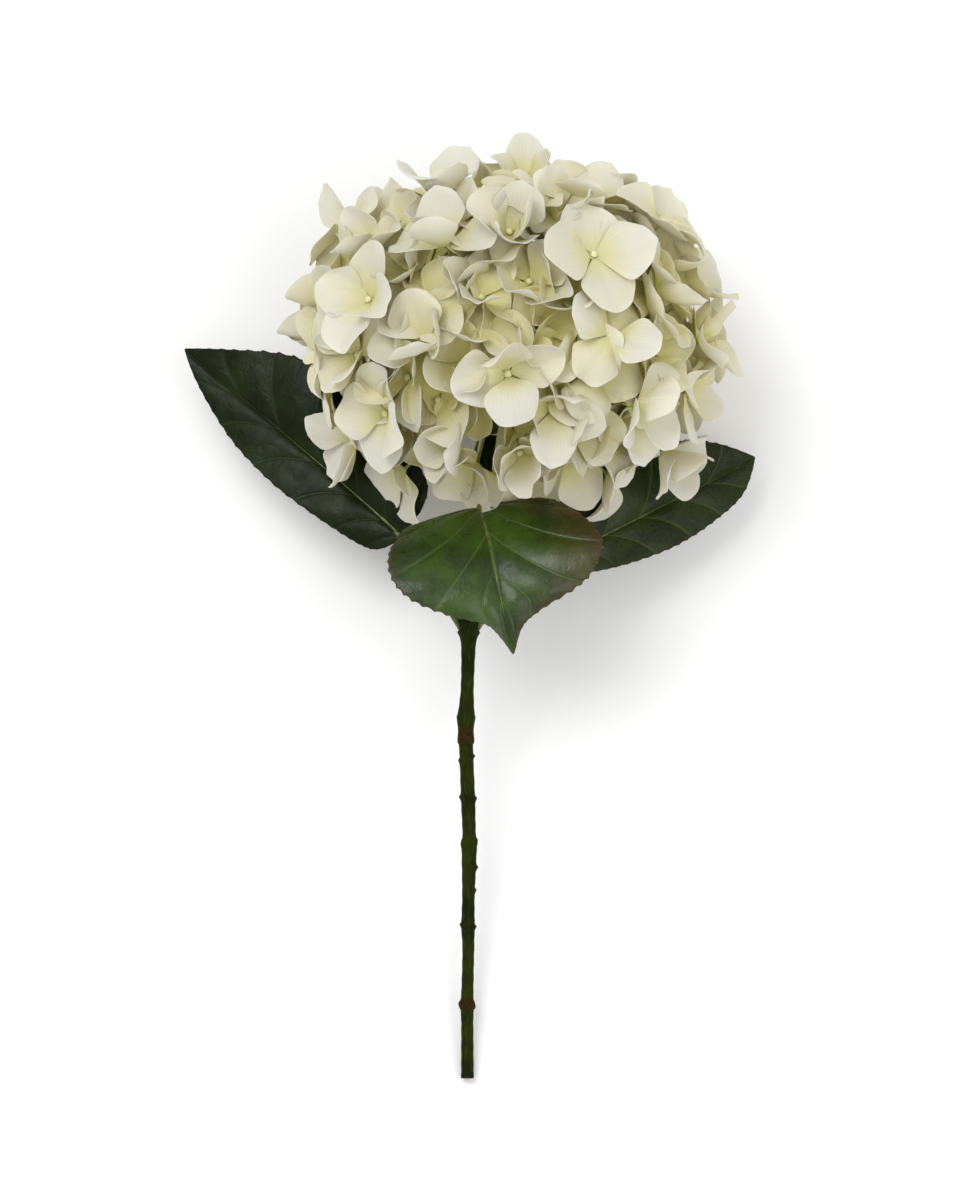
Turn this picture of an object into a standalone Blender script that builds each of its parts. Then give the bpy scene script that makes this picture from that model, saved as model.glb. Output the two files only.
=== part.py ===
"""A cut hydrangea, laid on its side: stem, branching crown, three leaves and a round head of four-petalled florets."""

import math
import random

import bmesh
import bpy
from mathutils import Matrix, Quaternion, Vector
from mathutils.bvhtree import BVHTree

# The flower is drawn lying along +Y with its cut end at zero and its front facing +Z.
# Lengths in the tables below are millimetres and angles are degrees.
MM = 0.001
CLEARANCE = 0.4 * MM

# Once drawn, it is tipped up by this angle, so that its cut end and the back of its head reach the ground.
LYING_TILT = math.radians(13.0)
GROUND = -3.4 * MM

# The head is egg-shaped. Floret eyes lie on this shell, inside the reach of their petals.
HEAD_CENTRE = Vector((21.0, 374.0, 0.0)) * MM
SHELL = Vector((97.0, 75.0, 76.0)) * MM
HEAD_HEART = Vector((15.0, 347.0, -4.0)) * MM

# Front florets: right, along, outward step, roll, petal size in percent, form.
FRONT_FLORETS = (
    (57, 402, 6, 45, 110, "open"),
    (24, 414, 4, 20, 104, "cup"),
    (-45, 384, 5, 8, 106, "cup"),
    (-20, 362, 4, 38, 102, "loose"),
    (1, 386, 0, 70, 98, "cup"),
    (15, 352, 4, 50, 100, "loose"),
    (-15, 436, 3, 30, 102, "cup"),
    (27, 449, 8, 5, 94, "cup"),
    (58, 438, 1, 62, 96, "cup"),
    (87, 424, 4, 15, 100, "open"),
    (99, 396, 1, 50, 98, "cup"),
    (112, 372, 0, 20, 98, "loose"),
    (63, 366, 4, 33, 100, "reflex"),
    (76, 340, 3, 60, 102, "open"),
    (94, 362, -3, 10, 94, "cup"),
    (108, 343, 0, 45, 96, "cup"),
    (42, 332, -2, 15, 96, "cup"),
    (-38, 332, 3, 58, 106, "bell"),
    (-33, 304, 0, 30, 98, "bell"),
    (-6, 318, 0, 25, 98, "loose"),
    (20, 312, 1, 70, 98, "cup"),
    (45, 304, 0, 40, 98, "bell"),
    (68, 303, 2, 5, 98, "bell"),
    (92, 314, 1, 65, 98, "cup"),
    (-60, 422, 0, 40, 100, "cup"),
    (-40, 440, 1, 75, 100, "reflex"),
    (-71, 399, 0, 15, 100, "loose"),
    (-73, 371, -1, 55, 100, "cup"),
    (-69, 344, 0, 30, 100, "reflex"),
    (-54, 314, 1, 10, 100, "bell"),
    (-52, 359, 4, 35, 100, "cup"),
    (-14, 407, 2, 60, 102, "open"),
    (40, 380, -6, 20, 96, "loose"),
    (80, 386, -12, 65, 82, "cup"),
    (-46, 411, -2, 50, 98, "loose"),
    (2, 444, -4, 15, 96, "cup"),
    (-8, 340, -6, 80, 94, "cup"),
    (38, 356, -8, 10, 94, "cup"),
    (-58, 338, -6, 70, 96, "cup"),
    (74, 416, -10, 30, 94, "cup"),
    (84, 330, -10, 20, 92, "cup"),
)
SLOPPINESS = 9.0

# Back florets stand in rings round the head's far pole: outward lean, count, first bearing, roll step, resting.
BACK_RINGS = (
    (68.0, 8, 0.0, 37.0, False),
    (38.0, 5, 54.0, 52.0, True),
)
BACK_SIZE = 100
BACK_BOTTOM_GAP = 30.0

# A petal form: pitch of the outer and the inner pair, curl to the tip, cup across, wave height, spread of chance.
FORMS = {
    "open": (3.0, 15.0, 10.0, 16.0, 1.6, 3.0),
    "cup": (12.0, 26.0, 22.0, 28.0, 1.8, 5.0),
    "bell": (32.0, 46.0, -20.0, 34.0, 1.8, 6.0),
    "loose": (6.0, 24.0, 18.0, 30.0, 2.4, 7.0),
    "reflex": (10.0, 26.0, -34.0, -26.0, 1.6, 6.0),
}
PETAL_LENGTH = 30.0 * MM
PETAL_WIDTH = 33.0 * MM
PETAL_THICK = 0.6 * MM
PETAL_GAP = 0.3 * MM
NARROWING = 0.05
NARROWEST = 0.6
CLAW_SHARE = 0.1
EYE_RADIUS = 2.0 * MM
PAIR_STEP = 0.5 * MM
BUD_PROFILE = ((2.8, 0.5), (2.3, 1.3), (1.3, 1.6), (0.3, 1.2))
PEDICEL_TOP = -1.8 * MM
PEDICEL_RADIUS = 0.75 * MM
PEDICEL_BEVEL = 0
PETAL_ROWS = 3
PETAL_COLUMNS = 3
PEDICEL_STEPS = 3
STALK_START = 2.9 * MM
FEELER_STEP = 1.5 * MM
FEELER_REACH = 1.2 * MM

# How a crowded floret may give way: slide along its stalk, roll, close its petals, stay smaller, lean aside.
SLIDES = (0.0, -3.0, 3.0, -6.0, -9.0, -12.0, -15.0, -18.0, -22.0, -26.0)
ROLLS = (0.0, -15.0, 15.0, -30.0, 30.0, 45.0)
CLOSINGS = (0.0, 12.0, 24.0)
SHRINKS = (1.0, 0.87, 0.75, 0.66)
ASIDES = ((0.0, 0.0), (5.0, 0.0), (-5.0, 0.0), (0.0, 5.0), (0.0, -5.0))
INWARD_COST = 0.5
OUTWARD_COST = 0.8
ROLL_COST = 0.07
CLOSING_COST = 0.12
SHRINK_COST = 25.0
ASIDE_COST = 0.4
TIPS_TRIED = 3

# The crown's branches: right, along and forward position of each tip.
CROWN_BASE = Vector((10.5, 322.0, 2.0)) * MM
BRANCH_TIPS = (
    (16, 385, 6),
    (-28, 378, 14),
    (58, 380, 12),
    (-30, 345, 16),
    (60, 348, 16),
    (14, 346, 30),
    (-26, 362, -30),
    (54, 364, -30),
    (14, 384, -34),
)
CROWN_STEPS = ((0.0, 0.0, 0.0), (0.2, 5.0, 0.0), (0.4, 11.0, 0.0))
CROWN_RADII = (3.5, 4.6, 5.2)
BRANCH_BEVEL = 1
BRANCH_ROOT_RADIUS = 2.6 * MM
BRANCH_TIP_RADIUS = 1.5 * MM
BRANCH_STEPS = 4

# The stem from its cut end: along, right, forward, radius.
STEM_STATIONS = (
    (0.0, -0.8, 0.0, 3.2),
    (30.0, -1.0, 0.0, 3.1),
    (35.0, -1.0, 0.0, 3.8),
    (38.5, -1.0, 0.0, 3.7),
    (42.0, -0.9, 0.0, 3.1),
    (64.0, -0.3, 0.0, 3.0),
    (76.0, -0.4, 0.0, 3.4),
    (92.0, -0.2, 0.0, 3.2),
    (117.0, 0.1, 0.0, 3.9),
    (122.0, 0.0, 0.0, 3.4),
    (140.0, -0.6, 0.0, 3.6),
    (164.0, -1.4, 0.0, 3.5),
    (168.0, -1.5, 0.0, 4.2),
    (175.0, -1.5, 0.0, 4.0),
    (180.0, -1.4, 0.0, 4.4),
    (194.0, -0.8, 0.0, 3.3),
    (216.0, -0.3, 0.0, 3.7),
    (225.0, -0.2, 0.0, 5.6),
    (230.0, 0.0, 0.0, 5.2),
    (238.0, 0.6, 0.0, 3.6),
    (262.0, 3.2, 0.0, 3.5),
    (290.0, 6.2, 0.5, 3.5),
    (321.6, 10.4, 1.9, 3.6),
)
STEM_BEVEL = 2

# Each leaf: petiole points, then midrib stations as right, along, forward, left half width, right half width.
LEAVES = {
    "leaf_left": (
        ((-7.5, 230.0, 1.0), (-13.0, 241.0, -0.5), (-25.0, 259.0, -5.0), (-39.0, 275.5, -10.5)),
        (
            (-34.0, 271.0, -9.0, 12.0, 24.0),
            (-43.0, 279.5, -12.0, 17.0, 31.0),
            (-60.0, 294.5, -18.0, 20.5, 38.0),
            (-84.0, 315.0, -27.0, 22.5, 40.0),
            (-108.0, 335.5, -36.0, 19.5, 33.0),
            (-130.0, 354.0, -44.0, 10.0, 15.0),
            (-144.5, 366.5, -48.0, 0.5, 0.5),
        ),
        (-0.30, 0.10, 0.95),
    ),
    "leaf_right": (
        ((7.5, 229.0, 1.0), (16.0, 238.0, -2.0), (31.0, 250.0, -8.0), (50.0, 262.5, -13.0)),
        (
            (45.0, 260.0, -12.0, 24.0, 8.0),
            (54.0, 264.5, -14.0, 28.0, 13.0),
            (72.0, 273.5, -19.0, 31.0, 18.0),
            (94.0, 284.5, -26.0, 31.0, 20.5),
            (114.0, 294.5, -33.0, 27.0, 18.5),
            (132.0, 304.0, -40.0, 16.0, 13.0),
            (145.0, 311.5, -44.0, 0.5, 0.5),
        ),
        (0.30, 0.10, 0.95),
    ),
    "leaf_front": (
        ((5.8, 286.0, 4.6), (5.6, 286.8, 8.0), (5.4, 286.0, 12.5), (6.2, 282.2, 20.0)),
        (
            (5.2, 284.6, 15.5, 40.0, 26.0),
            (6.8, 280.0, 24.0, 50.0, 40.0),
            (9.5, 270.0, 36.0, 55.0, 48.0),
            (12.0, 258.0, 46.0, 55.0, 51.0),
            (14.2, 247.0, 51.0, 49.0, 48.0),
            (16.0, 238.0, 53.0, 38.0, 36.0),
            (17.8, 230.0, 53.0, 20.0, 18.0),
            (19.2, 224.0, 52.0, 7.5, 6.0),
            (22.0, 212.5, 49.0, 0.5, 0.5),
        ),
        (0.0, 0.35, 0.94),
    ),
}
LEAF_THICK = 0.9 * MM
LEAF_BASE_SHARE = 0.13
LEAF_BLUNT_SHARE = 0.005
LEAF_LEAST_HALF = 0.8 * MM
LEAF_ROWS = 24
LEAF_HALF_COLUMNS = 2
LEAF_DISH = 0.16
TOOTH_SHARE = 0.035
PETIOLE_BEVEL = 1
PETIOLE_RADIUS = 1.6 * MM
PETIOLE_STEPS = 6


def plain_material(name, colour, roughness):
    """One Principled material."""
    material = bpy.data.materials.new(name)
    material.use_nodes = True
    shader = material.node_tree.nodes["Principled BSDF"]
    shader.inputs["Base Color"].default_value = (*colour, 1.0)
    shader.inputs["Roughness"].default_value = roughness
    return material


def add_object(name, data, material):
    """An object of the flower, lying with the rest of it."""
    data.materials.append(material)
    piece = bpy.data.objects.new(name, data)
    flower.objects.link(piece)
    piece.parent = lying
    return piece


def round_bar(name, path, radii, bevel):
    """A curve with a round section of changing radius and filled ends."""
    curve = bpy.data.curves.new(name, "CURVE")
    curve.dimensions = "3D"
    curve.bevel_depth = MM
    curve.bevel_resolution = bevel
    curve.use_fill_caps = True
    spline = curve.splines.new("POLY")
    spline.points.add(len(path) - 1)
    for point, centre, radius in zip(spline.points, path, radii):
        point.co = (*centre, 1.0)
        point.radius = radius / MM
    return curve


def as_mesh(curve):
    """The curve's surface as one closed mesh."""
    holder = bpy.data.objects.new(curve.name, curve)
    helpers.objects.link(holder)
    bpy.context.view_layer.update()
    mesh = bpy.data.meshes.new_from_object(holder.evaluated_get(bpy.context.evaluated_depsgraph_get()))
    bpy.data.objects.remove(holder)
    shape = bmesh.new()
    shape.from_mesh(mesh)
    bmesh.ops.remove_doubles(shape, verts=shape.verts, dist=0.001 * MM)
    shape.to_mesh(mesh)
    shape.free()
    return mesh


def join_bars(piece, curves):
    """Joins round bars to a piece with a Boolean union. The bars stay hidden in their own collection."""
    group = bpy.data.collections.new(piece.name + "_bars")
    helpers.children.link(group)
    for curve in curves:
        bar = bpy.data.objects.new(curve.name, as_mesh(curve))
        group.objects.link(bar)
        bar.parent = lying
        bar.hide_render = True
        bar.display_type = "WIRE"
    join = piece.modifiers.new("join", "BOOLEAN")
    join.operation = "UNION"
    join.operand_type = "COLLECTION"
    join.collection = group
    join.solver = "EXACT"


def fence(piece):
    """A search tree of a finished piece, with its box."""
    bpy.context.view_layer.update()
    depsgraph = bpy.context.evaluated_depsgraph_get()
    corners = [Vector(corner) for corner in piece.evaluated_get(depsgraph).bound_box]
    low = [min(corner[k] for corner in corners) for k in range(3)]
    high = [max(corner[k] for corner in corners) for k in range(3)]
    return BVHTree.FromObject(piece, depsgraph), low, high


def smooth_station(stations, share):
    """The stations' values at a share of the way along, through a Catmull-Rom spline."""
    place = min(max(share, 0.0), 1.0) * (len(stations) - 1)
    first = min(int(place), len(stations) - 2)
    t = place - first
    a = stations[max(first - 1, 0)]
    b = stations[first]
    c = stations[first + 1]
    d = stations[min(first + 2, len(stations) - 1)]
    return [
        0.5 * (2 * q + (r - p) * t + (2 * p - 5 * q + 4 * r - s) * t * t + (3 * q - p - 3 * r + s) * t**3)
        for p, q, r, s in zip(a, b, c, d)
    ]


def petal_width_share(t):
    """A petal's width along its length: a narrow claw, then a broad round blade."""
    if t < 0.7:
        return CLAW_SHARE + (1 - CLAW_SHARE) * math.sin(math.pi / 2 * t / 0.7) ** 0.9
    return 1.0 - 0.08 * ((t - 0.7) / 0.3) ** 2


def arc(start, bend, share):
    """Forward and upward travel along an arc of unit length that starts at one angle and bends by another."""
    turn = bend * share
    if abs(turn) < 1e-4:
        return share * math.cos(start), share * math.sin(start)
    forward = (math.sin(start + turn) - math.sin(start)) / bend
    upward = (math.cos(start) - math.cos(start + turn)) / bend
    return forward, upward


def petal_point(petal, s, t):
    """A point of a petal: s runs -1 to 1 across it, t 0 to 1 from eye to tip."""
    length, width, pitch, curl, cup, wave, phase, twist, bearing, lift = petal
    along = t - 0.28 * s * s * t * t
    forward, upward = arc(pitch, curl, along)
    across, rise = arc(0.0, cup, s)
    half = 0.5 * width * petal_width_share(t)
    across *= half
    rise *= half
    rise += wave * t * t * (math.sin(2.6 * s + phase) + 0.5 * s * s * math.sin(5.0 * t + 2.0 * phase))
    turned = twist * t
    side = across * math.cos(turned) - rise * math.sin(turned)
    up = across * math.sin(turned) + rise * math.cos(turned)
    slope = pitch + curl * along
    radial = EYE_RADIUS + length * forward - up * math.sin(slope) * min(1.0, 4.0 * t)
    height = (lift + up * math.cos(slope)) * min(1.0, 4.0 * t) + length * upward
    return Vector((
        radial * math.cos(bearing) - side * math.sin(bearing),
        radial * math.sin(bearing) + side * math.cos(bearing),
        height,
    ))


def drawn_petals(form, size, closing, narrow, seed):
    """The four petals of one floret, each a little different."""
    dice = random.Random(seed)
    outer, inner, curl, cup, wave, spread = FORMS[form]
    petals = []
    for k in range(4):
        pitch = (outer if k % 2 else inner) + closing
        length = PETAL_LENGTH * size * dice.uniform(0.93, 1.07)
        width = PETAL_WIDTH * size * narrow * dice.uniform(0.92, 1.06)
        petals.append((
            length,
            width,
            math.radians(pitch + dice.uniform(-0.5, 0.5) * spread),
            math.radians(curl + dice.uniform(-2.0, 2.0) * spread),
            math.radians(cup + dice.uniform(-1.0, 1.0) * spread),
            wave * MM * dice.uniform(0.6, 1.2),
            dice.uniform(0.0, 2 * math.pi),
            math.radians(dice.uniform(-1.0, 1.0) * spread),
            math.pi / 2 * k + math.radians(dice.uniform(-3.0, 3.0)),
            -PAIR_STEP if k % 2 else PAIR_STEP,
        ))
    return petals


def petal_sheet(shape, petal):
    """Adds one petal to a mesh as a bent grid facing up. Returns its foot, from side to side."""
    grid = bmesh.ops.create_grid(shape, x_segments=PETAL_COLUMNS, y_segments=PETAL_ROWS, size=1.0)
    foot = sorted((v for v in grid["verts"] if v.co.y < -0.99), key=lambda v: -v.co.x)
    for v in grid["verts"]:
        v.co = petal_point(petal, -v.co.x, (v.co.y + 1.0) / 2)
    return foot


def floret_sheet(petals):
    """The four petals as one open sheet, joined by the small disc they stand on."""
    shape = bmesh.new()
    feet = []
    for petal in petals:
        feet += petal_sheet(shape, petal)
    shape.faces.new(feet)
    shape.normal_update()
    return shape


def thickened(shape, thick):
    """Points and faces of a sheet made into a wall, half to each side. The sheet is used up."""
    for v in shape.verts:
        v.co += v.normal * thick / 2
    bmesh.ops.solidify(shape, geom=shape.faces[:], thickness=thick)
    points = [v.co.copy() for v in shape.verts]
    faces = [[v.index for v in face.verts] for face in shape.faces]
    shape.free()
    return points, faces


def petals_cross(petals):
    """Whether neighbouring petals of one floret run through each other."""
    trees = []
    for petal in petals:
        shape = bmesh.new()
        petal_sheet(shape, petal)
        shape.normal_update()
        trees.append(BVHTree.FromPolygons(*thickened(shape, PETAL_THICK + PETAL_GAP)))
    return any(trees[k].overlap(trees[(k + 1) % 4]) for k in range(4))


def floret_petals(form, size, closing, seed):
    """The floret's petals, narrowed until none runs through its neighbour."""
    narrow = 1.0
    petals = drawn_petals(form, size, closing, narrow, seed)
    while petals_cross(petals) and narrow > NARROWEST:
        narrow -= NARROWING
        petals = drawn_petals(form, size, closing, narrow, seed)
    return petals


def stalk_path(place, tip):
    """The stalk's bend from under the floret to just short of its branch's tip."""
    start = place @ Vector((0.0, 0.0, PEDICEL_TOP))
    axis = (place.to_quaternion() @ Vector((0.0, 0.0, 1.0))).normalized()
    leave = (start - tip).normalized()
    end = tip + leave * STALK_START
    reach = 0.35 * (start - end).length
    path = []
    for m in range(PEDICEL_STEPS + 1):
        t = m / PEDICEL_STEPS
        a = start.lerp(start - axis * reach, t)
        b = (start - axis * reach).lerp(end + leave * reach, t)
        c = (end + leave * reach).lerp(end, t)
        path.append(a.lerp(b, t).lerp(b.lerp(c, t), t))
    return path


def floret_place(eye, axis, slide, roll, aside):
    """Where a floret stands: its eye, slid along its axis or aside, and its turn about it."""
    upright = axis.to_track_quat("Z", "Y")
    stand = upright @ Quaternion((0.0, 0.0, 1.0), math.radians(roll))
    eye = eye + axis * slide + upright @ Vector((aside[0], aside[1], 0.0)) * MM
    return Matrix.Translation(eye) @ stand.to_matrix().to_4x4()


def front_eye(right, along, step):
    """A floret's eye on the front of the shell, and the way it faces."""
    x = (right * MM - HEAD_CENTRE.x) / SHELL.x
    y = (along * MM - HEAD_CENTRE.y) / SHELL.y
    z = math.sqrt(max(1.0 - x * x - y * y, 0.0))
    eye = Vector((right * MM, along * MM, z * SHELL.z))
    axis = (eye - HEAD_HEART).normalized()
    return eye + axis * step * MM, axis


def back_eye(lean, bearing):
    """A floret's eye on the back of the shell, and the way it faces."""
    lean = math.radians(lean)
    bearing = math.radians(bearing)
    way = Vector((
        math.sin(lean) * math.cos(bearing),
        math.sin(lean) * math.sin(bearing),
        -math.cos(lean),
    ))
    eye = HEAD_CENTRE + way * SHELL
    return eye, (eye - HEAD_HEART).normalized()


def tipped(axis, seed):
    """The axis leaned a little at random, as stalks never point quite straight out."""
    dice = random.Random(1000 + seed)
    lean = math.radians(dice.uniform(0.0, SLOPPINESS))
    across = axis.orthogonal().normalized()
    across.rotate(Quaternion(axis, dice.uniform(0.0, 2 * math.pi)))
    return Quaternion(across, lean) @ axis


def floret_plan():
    """Every floret's eye, axis, roll, size, form and whether the head rests on it, front ones first."""
    plan = []
    for right, along, step, roll, size, form in FRONT_FLORETS:
        eye, axis = front_eye(right, along, step)
        plan.append((eye, tipped(axis, len(plan)), roll, size / 100, form, False))
    for lean, count, first, roll_step, rests in BACK_RINGS:
        for k in range(count):
            bearing = first + 360.0 * k / count
            if not rests and abs(bearing - 270.0) < BACK_BOTTOM_GAP:
                continue
            eye, axis = back_eye(lean, bearing)
            plan.append((eye, axis, roll_step * k, BACK_SIZE / 100, "cup", rests and bearing > 180.0))
    eye, axis = back_eye(0.0, 0.0)
    plan.append((eye, axis, 20.0, BACK_SIZE / 100, "open", True))
    return plan


def above_ground(points):
    """How far the lowest point stands above the ground once the flower lies down."""
    return min(p.y * math.sin(LYING_TILT) + p.z * math.cos(LYING_TILT) for p in points) - GROUND


def nearest_tips(eye):
    """Branch tips, the nearest first."""
    tips = [Vector(tip) * MM for tip in BRANCH_TIPS]
    return sorted(tips, key=lambda tip: (tip - eye).length)


def ways_to_stand():
    """Every mix of slide, roll, closing, shrinking and leaning aside, the mildest first."""
    ways = []
    for slide in SLIDES:
        for roll in ROLLS:
            for closing in CLOSINGS:
                for shrink in SHRINKS:
                    for aside in ASIDES:
                        cost = -slide * INWARD_COST if slide < 0 else slide * OUTWARD_COST
                        cost += abs(roll) * ROLL_COST + closing * CLOSING_COST
                        cost += (1.0 - shrink) * SHRINK_COST + (abs(aside[0]) + abs(aside[1])) * ASIDE_COST
                        ways.append((cost, slide, roll, closing, shrink, aside))
    return sorted(ways)


def sheet_is_clear(points, faces, taken):
    """Whether petals meet none of the pieces placed so far."""
    low = [min(p[k] for p in points) for k in range(3)]
    high = [max(p[k] for p in points) for k in range(3)]
    near = [
        tree for tree, other_low, other_high in taken
        if all(low[k] <= other_high[k] and high[k] >= other_low[k] for k in range(3))
    ]
    if not near:
        return True
    tree = BVHTree.FromPolygons(points, faces)
    return not any(tree.overlap(other) for other in near)


def stalk_is_clear(path, taken):
    """Whether a stalk keeps its distance from the pieces placed so far, felt for at close steps."""
    for start, end in zip(path, path[1:]):
        steps = max(1, math.ceil((end - start).length / FEELER_STEP))
        for m in range(steps + 1):
            point = start.lerp(end, m / steps)
            if any(tree.find_nearest(point, FEELER_REACH)[0] for tree, low, high in taken):
                return False
    return True


def settle_floret(seed, entry, taken):
    """The mildest stand of a floret that is clear of everything placed so far."""
    eye, axis, roll, size, form, rests = entry
    down = -(axis.y * math.sin(LYING_TILT) + axis.z * math.cos(LYING_TILT))
    sheets = {}
    for tip in nearest_tips(eye)[:TIPS_TRIED]:
        for cost, slide, turn, closing, shrink, aside in ways_to_stand():
            if (closing, shrink) not in sheets:
                petals = floret_petals(form, size * shrink, closing, seed)
                guard = thickened(floret_sheet(petals), PETAL_THICK + CLEARANCE)
                sheets[closing, shrink] = (petals, *guard)
            petals, local, faces = sheets[closing, shrink]
            place = floret_place(eye, axis, slide * MM, roll + turn, aside)
            points = [place @ point for point in local]
            if rests:
                if slide != 0.0:
                    continue
                slide = above_ground(points) / down / MM
                place = floret_place(eye, axis, slide * MM, roll + turn, aside)
                points = [place @ point for point in local]
            elif above_ground(points) < 0.0:
                continue
            stalk = stalk_path(place, tip)
            if sheet_is_clear(points, faces, taken) and stalk_is_clear(stalk, taken):
                return petals, place, stalk
    return None


def add_floret(name, petals, place, stalk):
    """One floret: petals with a wall, and their bud and stalk as one bar through the middle."""
    shape = floret_sheet(petals)
    bmesh.ops.transform(shape, matrix=place, verts=shape.verts)
    mesh = bpy.data.meshes.new(name)
    shape.to_mesh(mesh)
    shape.free()
    mesh.shade_smooth()
    piece = add_object(name, mesh, petal_material)
    wall = piece.modifiers.new("wall", "SOLIDIFY")
    wall.thickness = PETAL_THICK
    wall.offset = 0.0
    path = [place @ Vector((0.0, 0.0, height * MM)) for height, radius in BUD_PROFILE] + stalk
    radii = [radius * MM for height, radius in BUD_PROFILE] + [PEDICEL_RADIUS] * len(stalk)
    join_bars(piece, [round_bar(name + "_stalk", path, radii, PEDICEL_BEVEL)])
    return piece


def leaf_blade(name, stations, facing):
    """A leaf blade from a grid, with toothed edges, a rounded base and a slight fold along its midrib."""
    shape = bmesh.new()
    grid = bmesh.ops.create_grid(shape, x_segments=2 * LEAF_HALF_COLUMNS, y_segments=LEAF_ROWS, size=1.0)
    facing = Vector(facing)
    for v in grid["verts"]:
        s = v.co.x
        row = round((v.co.y + 1.0) / 2 * LEAF_ROWS)
        t = 0.6 * row / LEAF_ROWS + 0.2 - 0.2 * math.cos(math.pi * row / LEAF_ROWS)
        here = smooth_station(stations, t)
        ahead = Vector(smooth_station(stations, t + 0.02)[:3])
        behind = Vector(smooth_station(stations, t - 0.02)[:3])
        tangent = (ahead - behind).normalized()
        right = tangent.cross(facing).normalized()
        rounding = math.sqrt(1.0 - (1.0 - min((t + LEAF_BLUNT_SHARE) / LEAF_BASE_SHARE, 1.0)) ** 2)
        half = max((here[4] if s > 0 else here[3]) * MM * rounding, LEAF_LEAST_HALF)
        tooth = TOOTH_SHARE if abs(s) > 0.99 and row % 2 else 0.0
        rise = LEAF_DISH * half * abs(s) * (1.0 - 0.6 * abs(s))
        v.co = Vector(here[:3]) * MM + right * s * half * (1.0 + tooth) + right.cross(tangent) * rise
    mesh = bpy.data.meshes.new(name)
    shape.to_mesh(mesh)
    shape.free()
    mesh.shade_smooth()
    piece = add_object(name, mesh, leaf_material)
    wall = piece.modifiers.new("wall", "SOLIDIFY")
    wall.thickness = LEAF_THICK
    wall.offset = 0.0
    return piece


for old in list(bpy.data.objects):
    bpy.data.objects.remove(old)

flower = bpy.data.collections.new("hydrangea")
bpy.context.scene.collection.children.link(flower)
helpers = bpy.data.collections.new("hydrangea_helpers")
bpy.context.scene.collection.children.link(helpers)
lying = bpy.data.objects.new("lying", None)
flower.objects.link(lying)
taken = []

petal_material = plain_material("petal", (0.86, 0.85, 0.70), 0.55)
leaf_material = plain_material("leaf", (0.03, 0.09, 0.02), 0.4)
stem_material = plain_material("stem", (0.06, 0.09, 0.02), 0.5)

# The stem, swollen where leaves once stood.
stem_path = [Vector((right, along, forward)) * MM for along, right, forward, radius in STEM_STATIONS]
stem_radii = [radius * MM for along, right, forward, radius in STEM_STATIONS]
stem = add_object("stem", round_bar("stem", stem_path, stem_radii, STEM_BEVEL), stem_material)
taken.append(fence(stem))

# The crown, where the stem spreads into branches.
crown_path = [CROWN_BASE + Vector(step) * MM for step in CROWN_STEPS]
crown_radii = [radius * MM for radius in CROWN_RADII]
crown = add_object("crown", as_mesh(round_bar("crown", crown_path, crown_radii, STEM_BEVEL)), stem_material)
branches = []
for number, tip in enumerate(BRANCH_TIPS):
    elbow = CROWN_BASE + Vector((0.0, 10.0, 0.0)) * MM
    low = CROWN_BASE + Vector((0.0, 2.0, 0.0)) * MM
    path = []
    radii = []
    for m in range(BRANCH_STEPS + 1):
        t = m / BRANCH_STEPS
        path.append(low.lerp(elbow, t).lerp(elbow.lerp(Vector(tip) * MM, t), t))
        radii.append(BRANCH_ROOT_RADIUS + (BRANCH_TIP_RADIUS - BRANCH_ROOT_RADIUS) * t)
    branches.append(round_bar(f"branch_{number}", path, radii, BRANCH_BEVEL))
join_bars(crown, branches)
taken.append(fence(crown))

# The leaves on their petioles.
for name, (petiole, stations, facing) in LEAVES.items():
    leaf = leaf_blade(name, stations, facing)
    path = [Vector(smooth_station(petiole, m / PETIOLE_STEPS)) * MM for m in range(PETIOLE_STEPS + 1)]
    join_bars(leaf, [round_bar(name + "_petiole", path, [PETIOLE_RADIUS] * len(path), PETIOLE_BEVEL)])
    taken.append(fence(leaf))

# The florets. Those that the head rests on are settled first.
plan = floret_plan()
for index in sorted(range(len(plan)), key=lambda i: not plan[i][5]):
    settled = settle_floret(index, plan[index], taken)
    if settled is None:
        print("no room for floret", index + 1)
        continue
    floret = add_floret(f"floret_{index + 1:02d}", *settled)
    taken.append(fence(floret))

# Tip the flower up until its cut end and the back of its head are level, and set it on the ground's origin.
lying.rotation_euler = (LYING_TILT, 0.0, 0.0)
bpy.context.view_layer.update()
depsgraph = bpy.context.evaluated_depsgraph_get()
surface = []
for piece in flower.objects:
    if piece is not lying:
        solid = piece.evaluated_get(depsgraph)
        surface += [solid.matrix_world @ v.co for v in solid.to_mesh().vertices]
        solid.to_mesh_clear()
across = [point.x for point in surface]
along = [point.y for point in surface]
lying.location = (
    -(min(across) + max(across)) / 2,
    -(min(along) + max(along)) / 2,
    -min(point.z for point in surface),
)
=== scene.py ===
"""A cut hydrangea lying on a pale floor: stem, crown, three toothed leaves and a round head of cream florets."""

import math
import random

import bmesh
import bpy
from mathutils import Matrix, Quaternion, Vector, kdtree
from mathutils.bvhtree import BVHTree


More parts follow.
